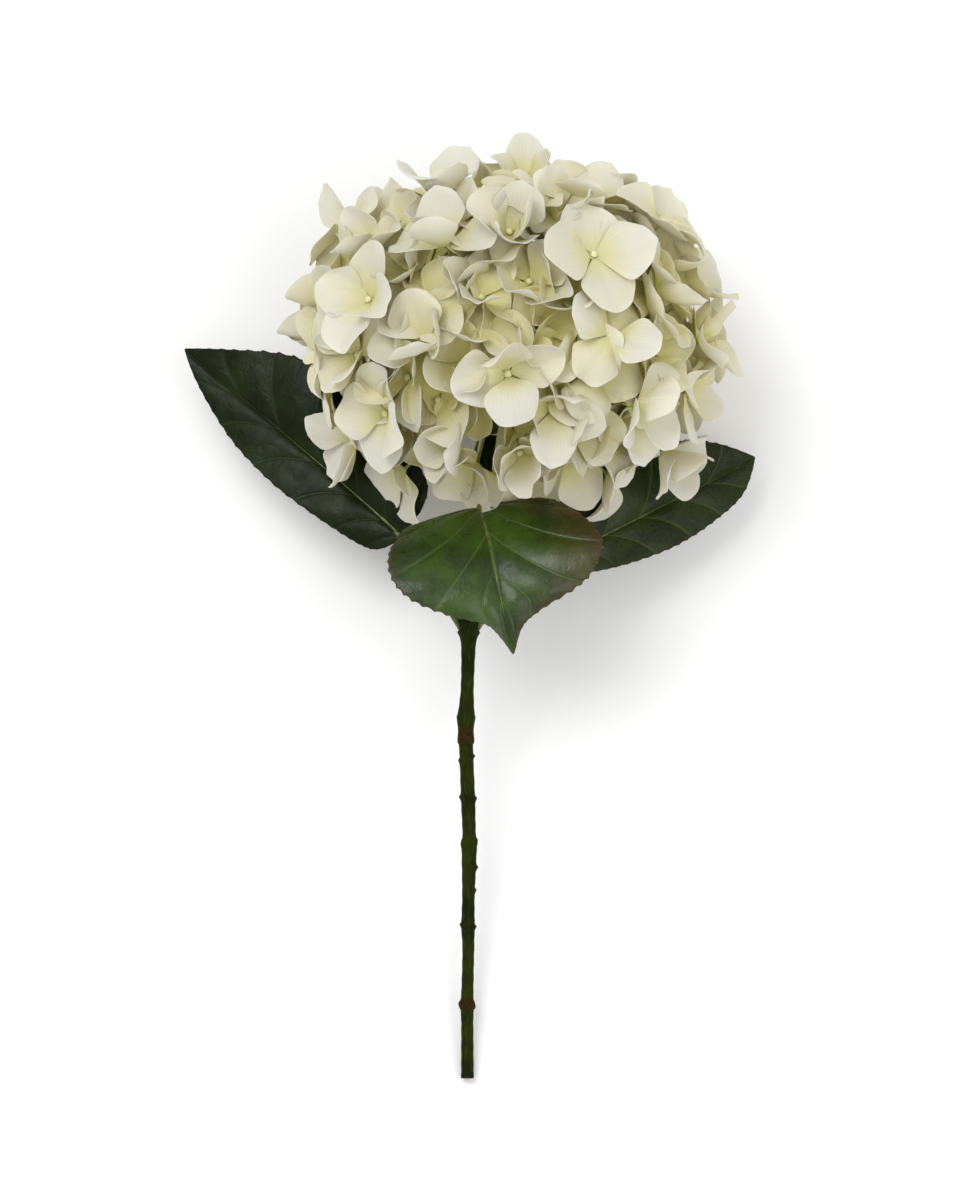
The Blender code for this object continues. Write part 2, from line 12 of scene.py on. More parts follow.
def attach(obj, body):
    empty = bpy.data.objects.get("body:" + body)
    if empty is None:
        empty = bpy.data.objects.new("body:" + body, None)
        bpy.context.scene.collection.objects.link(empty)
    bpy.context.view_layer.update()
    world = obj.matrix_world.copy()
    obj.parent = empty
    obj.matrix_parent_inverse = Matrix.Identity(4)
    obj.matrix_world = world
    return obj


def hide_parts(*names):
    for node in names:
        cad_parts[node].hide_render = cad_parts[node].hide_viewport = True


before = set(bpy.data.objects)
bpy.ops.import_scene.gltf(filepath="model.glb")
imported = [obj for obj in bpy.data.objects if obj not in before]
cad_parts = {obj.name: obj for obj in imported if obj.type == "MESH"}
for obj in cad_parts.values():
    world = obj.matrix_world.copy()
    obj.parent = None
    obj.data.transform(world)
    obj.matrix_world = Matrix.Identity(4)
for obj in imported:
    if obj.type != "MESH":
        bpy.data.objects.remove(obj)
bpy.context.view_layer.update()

# -----------------------------------------------------------------------------
# The stem: a woody green shoot with red-brown knuckles and small scars where leaves once stood, cut square at its
# foot. It is the axis that everything else grows from, so how the flower lies on the ground is settled here.
# -----------------------------------------------------------------------------
MM = 0.001
TO_FRONT = Vector((0.0, 0.0, 1.0))
LYING_TILT = math.radians(13.0)
# The ground's height against the stem's foot, and the height under which pieces ease off the ground.
GROUND = -3.4 * MM
SETTLING = 0.8 * MM

# Stations from the cut end: along, right, forward, radius.
STEM_STATIONS = (
    (0.0, -0.8, 0.0, 3.2),
    (30.0, -1.0, 0.0, 3.1),
    (35.0, -1.0, 0.0, 3.8),
    (38.5, -1.0, 0.0, 3.7),
    (42.0, -0.9, 0.0, 3.1),
    (64.0, -0.3, 0.0, 3.0),
    (76.0, -0.4, 0.0, 3.4),
    (92.0, -0.2, 0.0, 3.2),
    (117.0, 0.1, 0.0, 3.9),
    (122.0, 0.0, 0.0, 3.4),
    (140.0, -0.6, 0.0, 3.6),
    (164.0, -1.4, 0.0, 3.5),
    (168.0, -1.5, 0.0, 4.2),
    (175.0, -1.5, 0.0, 4.0),
    (180.0, -1.4, 0.0, 4.4),
    (194.0, -0.8, 0.0, 3.3),
    (216.0, -0.3, 0.0, 3.7),
    (225.0, -0.2, 0.0, 5.2),
    (230.0, 0.0, 0.0, 4.8),
    (238.0, 0.6, 0.0, 3.6),
    (262.0, 3.2, 0.0, 3.5),
    (290.0, 6.2, 0.5, 3.5),
    (321.6, 10.4, 1.9, 3.6),
)
# Scars and knots: place along, bearing round the stem (0 is right, 90 is the front), height, half length.
STEM_KNOTS = (
    (36.0, 20.0, 0.5, 2.2),
    (37.5, 170.0, 0.6, 2.0),
    (76.0, 5.0, 1.1, 1.5),
    (77.0, 178.0, 0.9, 1.6),
    (94.5, -10.0, 1.0, 1.4),
    (105.0, 12.0, 1.1, 1.6),
    (117.0, 150.0, 0.8, 2.4),
    (118.0, 30.0, 0.7, 2.2),
    (140.0, 0.0, 1.0, 1.6),
    (141.0, 185.0, 1.0, 1.6),
    (158.0, 175.0, 0.9, 1.5),
    (160.0, 5.0, 1.1, 1.4),
    (170.0, 80.0, 0.5, 2.6),
    (181.0, 200.0, 0.6, 2.0),
    (181.0, -20.0, 0.6, 2.0),
    (206.0, 70.0, 0.7, 1.4),
    (222.0, 195.0, 1.2, 2.2),
    (222.0, -12.0, 1.2, 2.2),
    (228.0, 95.0, 0.8, 2.4),
    (291.0, 100.0, 0.9, 2.4),
)
# Red-brown knuckles: place along, half length, strength.
STEM_KNUCKLES = (
    (36.5, 3.4, 1.0),
    (171.0, 4.6, 1.0),
    (225.0, 3.0, 0.35),
    (0.0, 1.2, 0.8),
)
STEM_SIDES = 32
STEM_RINGS = 420
CUT_FACE_DEPTH = 0.25 * MM
# A knot's half width round the stem in radians, and how much shorter its far slope is.
KNOT_TURN = 0.6
KNOT_FAR_SLOPE = 0.45
# Slight ribs that wind up the stem, and small lumps along it.
RIB_COUNT = 3
RIB_HEIGHT = 0.10
RIB_SPIRAL = 17
LUMP_HEIGHT = 0.07
LUMP_PACE = 0.9
# A tube looks this share of its length back and ahead for its heading, closes its seam when its rims lie this near,
# and turns to another guide when it heads this squarely to the front.
TUBE_LOOK = 0.004
TUBE_SEAM = 0.0005 * MM
TUBE_UPRIGHT = 0.9


def smooth_station(stations, share):
    """The stations' values at a share of the way along, through a Catmull-Rom spline."""
    place = min(max(share, 0.0), 1.0) * (len(stations) - 1)
    first = min(int(place), len(stations) - 2)
    t = place - first
    a = stations[max(first - 1, 0)]
    b = stations[first]
    c = stations[first + 1]
    d = stations[min(first + 2, len(stations) - 1)]
    return [
        0.5 * (2 * q + (r - p) * t + (2 * p - 5 * q + 4 * r - s) * t * t + (3 * q - p - 3 * r + s) * t**3)
        for p, q, r, s in zip(a, b, c, d)
    ]


def bump_over(distance, half):
    """A smooth hump of height one that falls off over a half width."""
    return math.exp(-((distance / half) ** 2))


def cut_end_centre(node):
    """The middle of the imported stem's cut face."""
    axis = Vector((0.0, math.cos(LYING_TILT), math.sin(LYING_TILT)))
    corners = {tuple(round(x, 7) for x in v.co) for v in node.data.vertices}
    reach = min(Vector(corner).dot(axis) for corner in corners)
    rim = [Vector(corner) for corner in corners if Vector(corner).dot(axis) - reach < CUT_FACE_DEPTH]
    return sum(rim, Vector()) / len(rim)


lying = Matrix.Rotation(LYING_TILT, 4, "X")
cut_end = Vector((STEM_STATIONS[0][1], STEM_STATIONS[0][0], STEM_STATIONS[0][2])) * MM
lying = Matrix.Translation(cut_end_centre(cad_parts["stem"]) - lying @ cut_end) @ lying


class Shade:
    """A number, colour or vector inside a finish, so that sums on it read as sums."""

    def __init__(self, finish, socket):
        self.finish = finish
        self.socket = socket

    def maths(self, operation, *values):
        return self.finish.node("ShaderNodeMath", {"operation": operation}, dict(enumerate(values)))

    def __add__(self, other):
        return self.maths("ADD", self, other)

    def __sub__(self, other):
        return self.maths("SUBTRACT", self, other)

    def __rsub__(self, other):
        return self.maths("SUBTRACT", other, self)

    def __mul__(self, other):
        return self.maths("MULTIPLY", self, other)

    def __pow__(self, other):
        return self.maths("POWER", self, other)

    def __abs__(self):
        return self.maths("ABSOLUTE", self)

    def off_whole(self):
        """How far the number lies from the nearest whole one."""
        return abs(self - self.maths("ROUND", self))


class Finish:
    """A material under construction: one Principled shader and the nodes that colour it."""

    def __init__(self, name, **constants):
        self.material = bpy.data.materials.new(name)
        self.material.use_nodes = True
        self.tree = self.material.node_tree
        self.shader = self.tree.nodes["Principled BSDF"]
        for socket, value in constants.items():
            self.shader.inputs[socket.replace("_", " ")].default_value = value

    def node(self, kind, settings, values, output=0):
        """Adds a node of any type: its settings first, then a value or a link for each socket."""
        node = self.tree.nodes.new(kind)
        for name, setting in settings.items():
            setattr(node, name, setting)
        for socket, value in values.items():
            if isinstance(value, Shade):
                self.tree.links.new(value.socket, node.inputs[socket])
            else:
                node.inputs[socket].default_value = value
        return Shade(self, node.outputs[output])

    def place(self):
        """The point on the piece, in metres."""
        return self.node("ShaderNodeTexCoord", {}, {}, "Object")

    def marked(self, name):
        """What the piece's mesh says at this point."""
        return self.node("ShaderNodeAttribute", {"attribute_name": name}, {}, "Fac")

    def noise(self, at, scale, detail, roughness=0.55):
        """Soft random patches between 0 and 1."""
        values = {"Vector": at, "Scale": scale, "Detail": detail, "Roughness": roughness}
        return self.node("ShaderNodeTexNoise", {}, values)

    def rise(self, value, low, high, bottom=0.0, top=1.0):
        """Smoothly from the bottom value at low to the top value at high."""
        values = {"Value": value, "From Min": low, "From Max": high, "To Min": bottom, "To Max": top}
        return self.node("ShaderNodeMapRange", {"interpolation_type": "SMOOTHSTEP"}, values)

    def blend(self, share, first, second):
        """From one colour to the other."""
        return self.node("ShaderNodeMix", {"data_type": "RGBA"}, {0: share, 6: first, 7: second}, 2)

    def mottled(self, patches, first, second, low=0.35, high=0.7):
        """From one colour to the other where soft patches rise."""
        return self.blend(self.rise(patches, low, high), first, second)

    def stretched(self, vector, factors):
        """The same point with each of its coordinates scaled."""
        return self.node("ShaderNodeVectorMath", {"operation": "MULTIPLY"}, {0: vector, 1: factors})

    def bumped(self, height, distance, strength):
        """A surface that rises and falls with a height."""
        return self.node("ShaderNodeBump", {}, {"Height": height, "Distance": distance, "Strength": strength})

    def paint(self, **sockets):
        """Feeds the shader's sockets and hands over the finished material."""
        for socket, shade in sockets.items():
            self.tree.links.new(shade.socket, self.shader.inputs[socket.replace("_", " ")])
        return self.material


def dye(red, green, blue):
    """A colour from its screen values of 0 to 255."""
    shares = [((value / 255 + 0.055) / 1.055) ** 2.4 if value > 10 else value / 3295 for value in (red, green, blue)]
    return (*shares, 1.0)


def piece_of(name, shape, material, node=None, sharp=50.0):
    """A finished piece of the flower from a mesh drawn in its upright lie. It may stand for a CAD node."""
    bmesh.ops.transform(shape, matrix=lying, verts=shape.verts)
    for v in shape.verts:
        if v.co.z < SETTLING:
            v.co.z = SETTLING * math.exp(v.co.z / SETTLING - 1.0)
    mesh = bpy.data.meshes.new(name)
    shape.to_mesh(mesh)
    shape.free()
    mesh.shade_smooth()
    mesh.set_sharp_from_angle(angle=math.radians(sharp))
    mesh.materials.append(material)
    piece = bpy.data.objects.new(name, mesh)
    bpy.context.scene.collection.objects.link(piece)
    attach(piece, "root")
    if node:
        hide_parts(node)
    return piece


def tube(shape, centre, radius, rings, sides):
    """Adds a closed tube to a mesh: centre(t) and radius(t, bearing) say where its skin is."""
    grid = bmesh.ops.create_grid(shape, x_segments=sides, y_segments=rings, size=1.0)
    skin = grid["verts"]
    for v in skin:
        bearing = math.pi * v.co.x
        t = (v.co.y + 1.0) / 2
        ahead = centre(min(t + TUBE_LOOK, 1.0)) - centre(max(t - TUBE_LOOK, 0.0))
        ahead.normalize()
        guide = TO_FRONT if abs(ahead.z) < TUBE_UPRIGHT else Vector((0.0, -1.0, 0.0))
        right = ahead.cross(guide).normalized()
        front = right.cross(ahead)
        v.co = centre(t) + (right * math.cos(bearing) + front * math.sin(bearing)) * radius(t, bearing)
    bmesh.ops.remove_doubles(shape, verts=skin, dist=TUBE_SEAM)
    kept = [v for v in skin if v.is_valid]
    rims = [e for v in kept for e in v.link_edges if e.is_boundary]
    bmesh.ops.holes_fill(shape, edges=list(set(rims)), sides=0)
    return kept


def stem_centre(t):
    """The middle of the stem at a share of its length."""
    along, right, forward, radius = smooth_station(STEM_STATIONS, stem_share(t * stem_length))
    return Vector((right, along, forward)) * MM


def stem_share(along):
    """The share through the stations at a length along the stem."""
    for k in range(len(STEM_STATIONS) - 1):
        if along <= STEM_STATIONS[k + 1][0]:
            start = STEM_STATIONS[k][0]
            return (k + (along - start) / (STEM_STATIONS[k + 1][0] - start)) / (len(STEM_STATIONS) - 1)
    return 1.0


def stem_radius(t, bearing):
    """The stem's radius with its knots, a slight ribbing and a grain of small lumps."""
    along = t * stem_length
    radius = smooth_station(STEM_STATIONS, stem_share(along))[3]
    for place, side, height, half in STEM_KNOTS:
        turn = (bearing - math.radians(side) + math.pi) % (2 * math.pi) - math.pi
        slope = half if along < place else KNOT_FAR_SLOPE * half
        radius += height * bump_over(along - place, slope) * bump_over(turn, KNOT_TURN)
    radius += RIB_HEIGHT * math.sin(RIB_COUNT * bearing + along / RIB_SPIRAL)
    radius += LUMP_HEIGHT * math.sin(LUMP_PACE * along + 2 * bearing)
    return radius * MM


stem_length = STEM_STATIONS[-1][0]
shape = bmesh.new()
knuckle = shape.verts.layers.float.new("knuckle")
for v in tube(shape, stem_centre, stem_radius, STEM_RINGS, STEM_SIDES):
    for place, half, strength in STEM_KNUCKLES:
        v[knuckle] += strength * bump_over(v.co.y / MM - place, half)
bmesh.ops.recalc_face_normals(shape, faces=shape.faces)

bark = Finish("stem_bark", Roughness=0.5, Specular_IOR_Level=0.04)
at = bark.place()
streaks = bark.noise(bark.stretched(at, (900.0, 60.0, 900.0)), 1.0, 4.0)
patches = bark.noise(at, 55.0, 3.0)
grain = bark.noise(at, 1600.0, 2.0)
green = bark.mottled(patches, dye(22, 29, 2), dye(36, 46, 5), high=0.68)
green = bark.blend(bark.rise(streaks, 0.45, 0.75, 0.0, 0.5), green, dye(54, 62, 14))
rust = bark.mottled(grain, dye(36, 24, 8), dye(66, 42, 18), low=0.4)
edge = bark.rise(bark.marked("knuckle") + (patches - 0.5) * 0.5, 0.25, 0.75)
bark_material = bark.paint(
    Base_Color=bark.blend(edge, green, rust),
    Roughness=bark.rise(patches, 0.2, 0.8, 0.36, 0.62),
    Normal=bark.bumped(streaks + grain * 0.5, 0.35 * MM, 0.9),
)
piece_of("stem_bark", shape, bark_material, "stem")

# -----------------------------------------------------------------------------
# The crown: the stem's flared top inside the head. It splits into nine smooth branches, from whose tips the
# florets' thin stalks spring.
# -----------------------------------------------------------------------------
CROWN_BASE = Vector((10.5, 322.0, 2.0)) * MM
BRANCH_TIPS = (
    (16, 385, 6),
    (-28, 378, 14),
    (58, 380, 12),
    (-30, 345, 16),
    (60, 348, 16),
    (14, 346, 30),
    (-26, 362, -30),
    (54, 364, -30),
    (14, 384, -34),
)
CROWN_HEIGHT = 14.0
CROWN_LEAN = 0.5
# The crown's radius at heights along it.
CROWN_RADII = ((0.0, 3.5), (5.0, 4.5), (11.0, 5.0), (14.0, 2.5))
BRANCH_START = CROWN_BASE + Vector((0.0, 2.0, 0.0)) * MM
BRANCH_ELBOW = CROWN_BASE + Vector((0.0, 10.0, 0.0)) * MM
BRANCH_ROOT_RADIUS = 2.6
BRANCH_TIP_RADIUS = 1.5
BRANCH_KNOB = 0.7
KNOB_PLACE = 0.97
KNOB_HALF = 0.05
CROWN_VOXEL = 0.45 * MM


def crown_centre(t):
    """The middle of the flared top at a share of its height."""
    return CROWN_BASE + Vector((CROWN_LEAN * t, CROWN_HEIGHT * t, 0.0)) * MM


def crown_radius(t, bearing):
    """The flared top's radius between its given heights."""
    along = CROWN_HEIGHT * t
    for (start, first), (end, second) in zip(CROWN_RADII, CROWN_RADII[1:]):
        if along <= end:
            share = (along - start) / (end - start)
            return (first + (second - first) * share) * MM
    return CROWN_RADII[-1][1] * MM


shape = bmesh.new()
tube(shape, crown_centre, crown_radius, 24, 24)
for tip in BRANCH_TIPS:

    def branch_centre(t, tip=Vector(tip) * MM):
        return BRANCH_START.lerp(BRANCH_ELBOW, t).lerp(BRANCH_ELBOW.lerp(tip, t), t)

    def branch_radius(t, bearing):
        radius = BRANCH_ROOT_RADIUS + (BRANCH_TIP_RADIUS - BRANCH_ROOT_RADIUS) * t
        return (radius + BRANCH_KNOB * bump_over(t - KNOB_PLACE, KNOB_HALF)) * MM

    tube(shape, branch_centre, branch_radius, 30, 14)
bmesh.ops.recalc_face_normals(shape, faces=shape.faces)
green_wood = Finish("branch_skin", Roughness=0.5, Specular_IOR_Level=0.4)
at = green_wood.place()
patches = green_wood.noise(at, 90.0, 3.0)
grain = green_wood.noise(at, 1300.0, 3.0)
green = green_wood.mottled(patches, dye(44, 54, 14), dye(96, 108, 40))
crown_material = green_wood.paint(
    Base_Color=green_wood.blend(green_wood.rise(grain, 0.5, 0.8, 0.0, 0.6), green, dye(120, 126, 62)),
    Roughness=green_wood.rise(patches, 0.2, 0.8, 0.4, 0.6),
    Normal=green_wood.bumped(grain, 0.25 * MM, 0.8),
)
crown = piece_of("crown_branches", shape, crown_material, "crown", sharp=180.0)
knit = crown.modifiers.new("knit", "REMESH")
knit.mode = "VOXEL"
knit.voxel_size = CROWN_VOXEL
knit.use_smooth_shade = True
ease = crown.modifiers.new("ease", "SMOOTH")
ease.factor = 0.5
ease.iterations = 4

# -----------------------------------------------------------------------------
# The leaves: three leathery blades with saw-toothed edges, each on a short petiole that runs on as a midrib with
# curved side veins. The blade is puckered between its veins and shines; its edge is tinged red-brown.
# -----------------------------------------------------------------------------
# Each leaf: petiole points; midrib stations as right, along, forward and the half widths on the leaf's own left
# and right; the way its face looks; how many side veins; how far they rake forward; how red its edge is.
LEAVES = {
    "leaf_left": (
        ((-3.0, 224.0, 0.5), (-8.5, 232.0, 0.8), (-14.0, 242.5, -0.8), (-25.0, 259.0, -5.0), (-36.0, 272.5, -9.8)),
        (
            (-34.0, 271.0, -9.0, 12.0, 24.0),
            (-43.0, 279.5, -12.0, 17.0, 31.0),
            (-60.0, 294.5, -18.0, 20.5, 38.0),
            (-84.0, 315.0, -27.0, 22.5, 40.0),
            (-108.0, 335.5, -36.0, 19.5, 33.0),
            (-130.0, 354.0, -44.0, 10.0, 15.0),
            (-144.5, 366.5, -48.0, 0.5, 0.5),
        ),
        (-0.30, 0.10, 0.95),
        7,
        0.22,
        0.02,
    ),
    "leaf_right": (
        ((3.0, 224.0, 0.5), (8.5, 230.5, 0.8), (17.0, 239.0, -2.2), (31.0, 250.0, -8.0), (47.0, 261.0, -12.4)),
        (
            (45.0, 260.0, -12.0, 24.0, 8.0),
            (54.0, 264.5, -14.0, 28.0, 13.0),
            (72.0, 273.5, -19.0, 31.0, 18.0),
            (94.0, 284.5, -26.0, 31.0, 20.5),
            (114.0, 294.5, -33.0, 27.0, 18.5),
            (132.0, 304.0, -40.0, 16.0, 13.0),
            (145.0, 311.5, -44.0, 0.5, 0.5),
        ),
        (0.30, 0.10, 0.95),
        7,
        0.22,
        0.10,
    ),
    "leaf_front": (
        ((5.6, 287.5, 1.0), (5.7, 288.2, 5.0), (5.5, 288.2, 9.0), (5.2, 286.2, 13.0), (5.6, 283.8, 17.0)),
        (
            (5.2, 284.6, 15.5, 26.0, 25.0),
            (6.8, 280.0, 24.0, 37.0, 39.0),
            (9.5, 270.0, 36.0, 48.0, 48.0),
            (12.0, 258.0, 46.0, 54.0, 51.0),
            (14.2, 247.0, 51.0, 49.0, 44.0),
            (16.0, 238.0, 53.0, 37.0, 28.0),
            (17.8, 230.0, 53.0, 17.0, 11.0),
            (19.2, 224.0, 52.0, 7.0, 5.5),
            (22.0, 212.5, 49.0, 0.5, 0.5),
        ),
        (0.0, 0.35, 0.94),
        5,
        0.6,
        0.5,
    ),
}
LEAF_THICK = 0.7 * MM
LEAF_BASE_SHARE = 0.13
LEAF_DISH = 0.16
LEAF_ROWS = 300
LEAF_COLUMNS = 84
LEAF_TEETH = 26
TOOTH_DEPTH = 2.1 * MM
TOOTH_LEAN = 1.2 * MM
PUCKER = 1.1 * MM
VEIN_SINK = 0.5 * MM
EDGE_WAVE = 1.4 * MM
# The half widths of a blade at which its teeth, puckers and waves reach their full size.
TOOTH_FULL = 32.0 * MM
PUCKER_FULL = 36.0 * MM
WAVE_FULL = 20.0 * MM
# Where along its bite a tooth is longest, how fast teeth fade at the tip, how far the two edges' teeth are apart.
TOOTH_PEAK = 0.8
TOOTH_FADE = 14.0
TOOTH_STAGGER = 0.37
VEIN_HALF = 1.3 * MM
WAVE_PACE = 11.0
PETIOLE_RADIUS = 1.5
PETIOLE_FOOT = 0.5
PETIOLE_SHARE = 0.2
MIDRIB_TAPER = 0.78
MIDRIB_SINK = 0.25 * MM
MIDRIB_END = 0.9
MIDRIB_POINTS = 14


def vein_phase(s, t, veins, rake):
    """Counts side veins: a whole number lies on a vein. Veins leave the midrib steeply and bend forward."""
    return (t - rake * abs(s) ** 0.8 * (1.0 - 0.35 * abs(s))) * veins


def leaf_point(leaf, s, t):
    """A point of a blade: s runs -1 to 1 across, t 0 to 1 from base to tip."""
    stations, facing, veins, rake = leaf[1:5]
    here = smooth_station(stations, t)
    tangent = Vector(smooth_station(stations, t + 0.02)[:3]) - Vector(smooth_station(stations, t - 0.02)[:3])
    tangent.normalize()
    right = tangent.cross(Vector(facing)).normalized()
    up = right.cross(tangent)
    rounding = math.sqrt(1.0 - (1.0 - min((t + 0.003) / LEAF_BASE_SHARE, 1.0)) ** 2)
    half = max((here[4] if s > 0 else here[3]) * MM * rounding, 0.3 * MM)
    edge = abs(s) ** 10
    bite = (t * LEAF_TEETH + (TOOTH_STAGGER if s > 0 else 0.0)) % 1.0
    tooth = bite if bite < TOOTH_PEAK else (1.0 - bite) * TOOTH_PEAK / (1.0 - TOOTH_PEAK)
    shrink = min(1.0, half / TOOTH_FULL) * min(1.0, (1.0 - t) * TOOTH_FADE)
    phase = vein_phase(s, t, veins, rake)
    side = 2.0 if s > 0 else 5.0
    rise = LEAF_DISH * half * abs(s) * (1.0 - 0.6 * abs(s))
    swell = abs(math.sin(math.pi * phase)) ** 0.7 * min(1.0, 5.0 * abs(s)) * (1.0 - 0.5 * edge)
    rise += PUCKER * swell * min(1.0, half / PUCKER_FULL)
    rise -= VEIN_SINK * bump_over(s * half, VEIN_HALF)
    rise += EDGE_WAVE * s * s * math.sin(WAVE_PACE * t + side + 2.0 * s) * min(1.0, half / WAVE_FULL)
    out = s * half + math.copysign(edge * (tooth - 0.3) * TOOTH_DEPTH * shrink, s)
    return Vector(here[:3]) * MM + right * out + up * rise + tangent * edge * tooth * TOOTH_LEAN * shrink


def leaf_blade(leaf):
    """A blade as a bent sheet, with its place across and along kept on the mesh for its veins."""
    shape = bmesh.new()
    across = shape.verts.layers.float.new("across")
    along = shape.verts.layers.float.new("along")
    grid = bmesh.ops.create_grid(shape, x_segments=LEAF_COLUMNS, y_segments=LEAF_ROWS, size=1.0)
    for v in grid["verts"]:
        s = v.co.x
        row = (v.co.y + 1.0) / 2
        t = 0.6 * row + 0.2 - 0.2 * math.cos(math.pi * row)
        v[across] = s
        v[along] = t
        v.co = leaf_point(leaf, s, t)
    return shape


def midrib(leaf):
    """Petiole and midrib as one tapering rod, half sunk in the blade's back."""
    petiole, facing = leaf[0], leaf[2]
    points = [Vector(point) * MM for point in petiole]
    for k in range(MIDRIB_POINTS):
        t = MIDRIB_END * (k + 1) / MIDRIB_POINTS
        points.append(leaf_point(leaf, 0.0, t) - Vector(facing) * MIDRIB_SINK)

    def rod_centre(t):
        return Vector(smooth_station(points, t))

    def rod_radius(t, bearing):
        taper = max(0.0, (t - PETIOLE_SHARE) / (1.0 - PETIOLE_SHARE))
        return (PETIOLE_RADIUS * (1.0 - MIDRIB_TAPER * taper**0.6) + PETIOLE_FOOT * bump_over(t, 0.03)) * MM

    shape = bmesh.new()
    tube(shape, rod_centre, rod_radius, 120, 14)
    bmesh.ops.recalc_face_normals(shape, faces=shape.faces)
    return shape


def leaf_finish(name, leaf, deep, fresh, vein_colour, rust_colour, shine):
    """Leather green with paler veins, a fine net between them, and a red tinge toward the leaf's own left edge."""
    veins, rake, red = leaf[3:]
    skin = Finish(name, Specular_IOR_Level=shine)
    at = skin.place()
    across = skin.marked("across")
    along = skin.marked("along")
    wide = abs(across)
    patches = skin.noise(at, 45.0, 4.0)
    fine = skin.noise(at, 420.0, 3.0)
    broad = skin.noise(at, 150.0, 2.0)
    bent = along - wide**0.8 * (1.0 - wide * 0.35) * rake + (fine - 0.5) * 0.006
    ripple = (bent * veins).off_whole()
    side_vein = skin.rise(ripple, 0.012, 0.055, 1.0, 0.0) * skin.rise(wide, 0.75, 1.0, 1.0, 0.15)
    middle = skin.rise(wide, 0.008, 0.035, 1.0, 0.0)
    vein = skin.node("ShaderNodeMath", {"operation": "MAXIMUM"}, {0: side_vein * 0.75, 1: middle})
    cells = {"Vector": at, "Scale": 330.0}
    net = skin.node("ShaderNodeTexVoronoi", {"feature": "DISTANCE_TO_EDGE"}, cells)
    net_line = skin.rise(net, 0.0, 0.09, 1.0, 0.0)
    green = skin.mottled(patches, deep, fresh, high=0.68)
    green = skin.blend(net_line * 0.1, green, vein_colour)
    tinge = skin.rise((patches - 0.5) * 0.9 - across, 0.3, 1.0, 0.0, red)
    rim = skin.rise(wide, 0.93, 1.0, 0.0, 0.5)
    green = skin.blend(tinge, green, rust_colour)
    green = skin.blend(rim, green, rust_colour)
    height = broad * 1.6 - net_line * 0.08 + fine * 0.2 - vein * 0.9
    return skin.paint(
        Base_Color=skin.blend(vein * 0.5, green, vein_colour),
        Roughness=skin.rise(broad, 0.25, 0.75, 0.24, 0.44),
        Normal=skin.bumped(height, 0.4 * MM, 0.7),
    )


# Each leaf's deep green, fresh green, veins, rusty edge, and shine.
LEAF_COLOURS = {
    "leaf_left": (dye(14, 23, 3), dye(25, 36, 8), dye(42, 54, 20), dye(36, 26, 12), 0.12),
    "leaf_right": (dye(25, 35, 7), dye(41, 54, 14), dye(84, 95, 38), dye(48, 34, 16), 0.18),
    "leaf_front": (dye(30, 47, 5), dye(50, 74, 11), dye(84, 104, 54), dye(66, 40, 18), 0.4),
}
rib = Finish("petiole_green", Roughness=0.42)
at = rib.place()
grain = rib.noise(at, 260.0, 3.0)
rib_material = rib.paint(
    Base_Color=rib.mottled(grain, dye(52, 64, 18), dye(104, 116, 48)),
    Normal=rib.bumped(grain, 0.2 * MM, 0.6),
)
for name, leaf in LEAVES.items():
    blade_material = leaf_finish(name + "_green", leaf, *LEAF_COLOURS[name])
    blade = piece_of(name + "_blade", leaf_blade(leaf), blade_material, name)
    wall = blade.modifiers.new("wall", "SOLIDIFY")
    wall.thickness = LEAF_THICK
    wall.offset = 0.0
    piece_of(name + "_midrib", midrib(leaf), rib_material, name)

# -----------------------------------------------------------------------------
# The florets: four broad cream petals, two over two, round a small bud on a thin green stalk. Each petal is a
# soft thin sheet, fanned with fine veins, cupped, curled and waved in its own way, and tinged green at its claw.
# -----------------------------------------------------------------------------
# The head is egg-shaped, and the eyes of its florets lie on this shell.
HEAD_CENTRE = Vector((21.0, 374.0, 0.0)) * MM
SHELL = Vector((97.0, 75.0, 76.0)) * MM
HEAD_HEART = Vector((15.0, 347.0, -4.0)) * MM

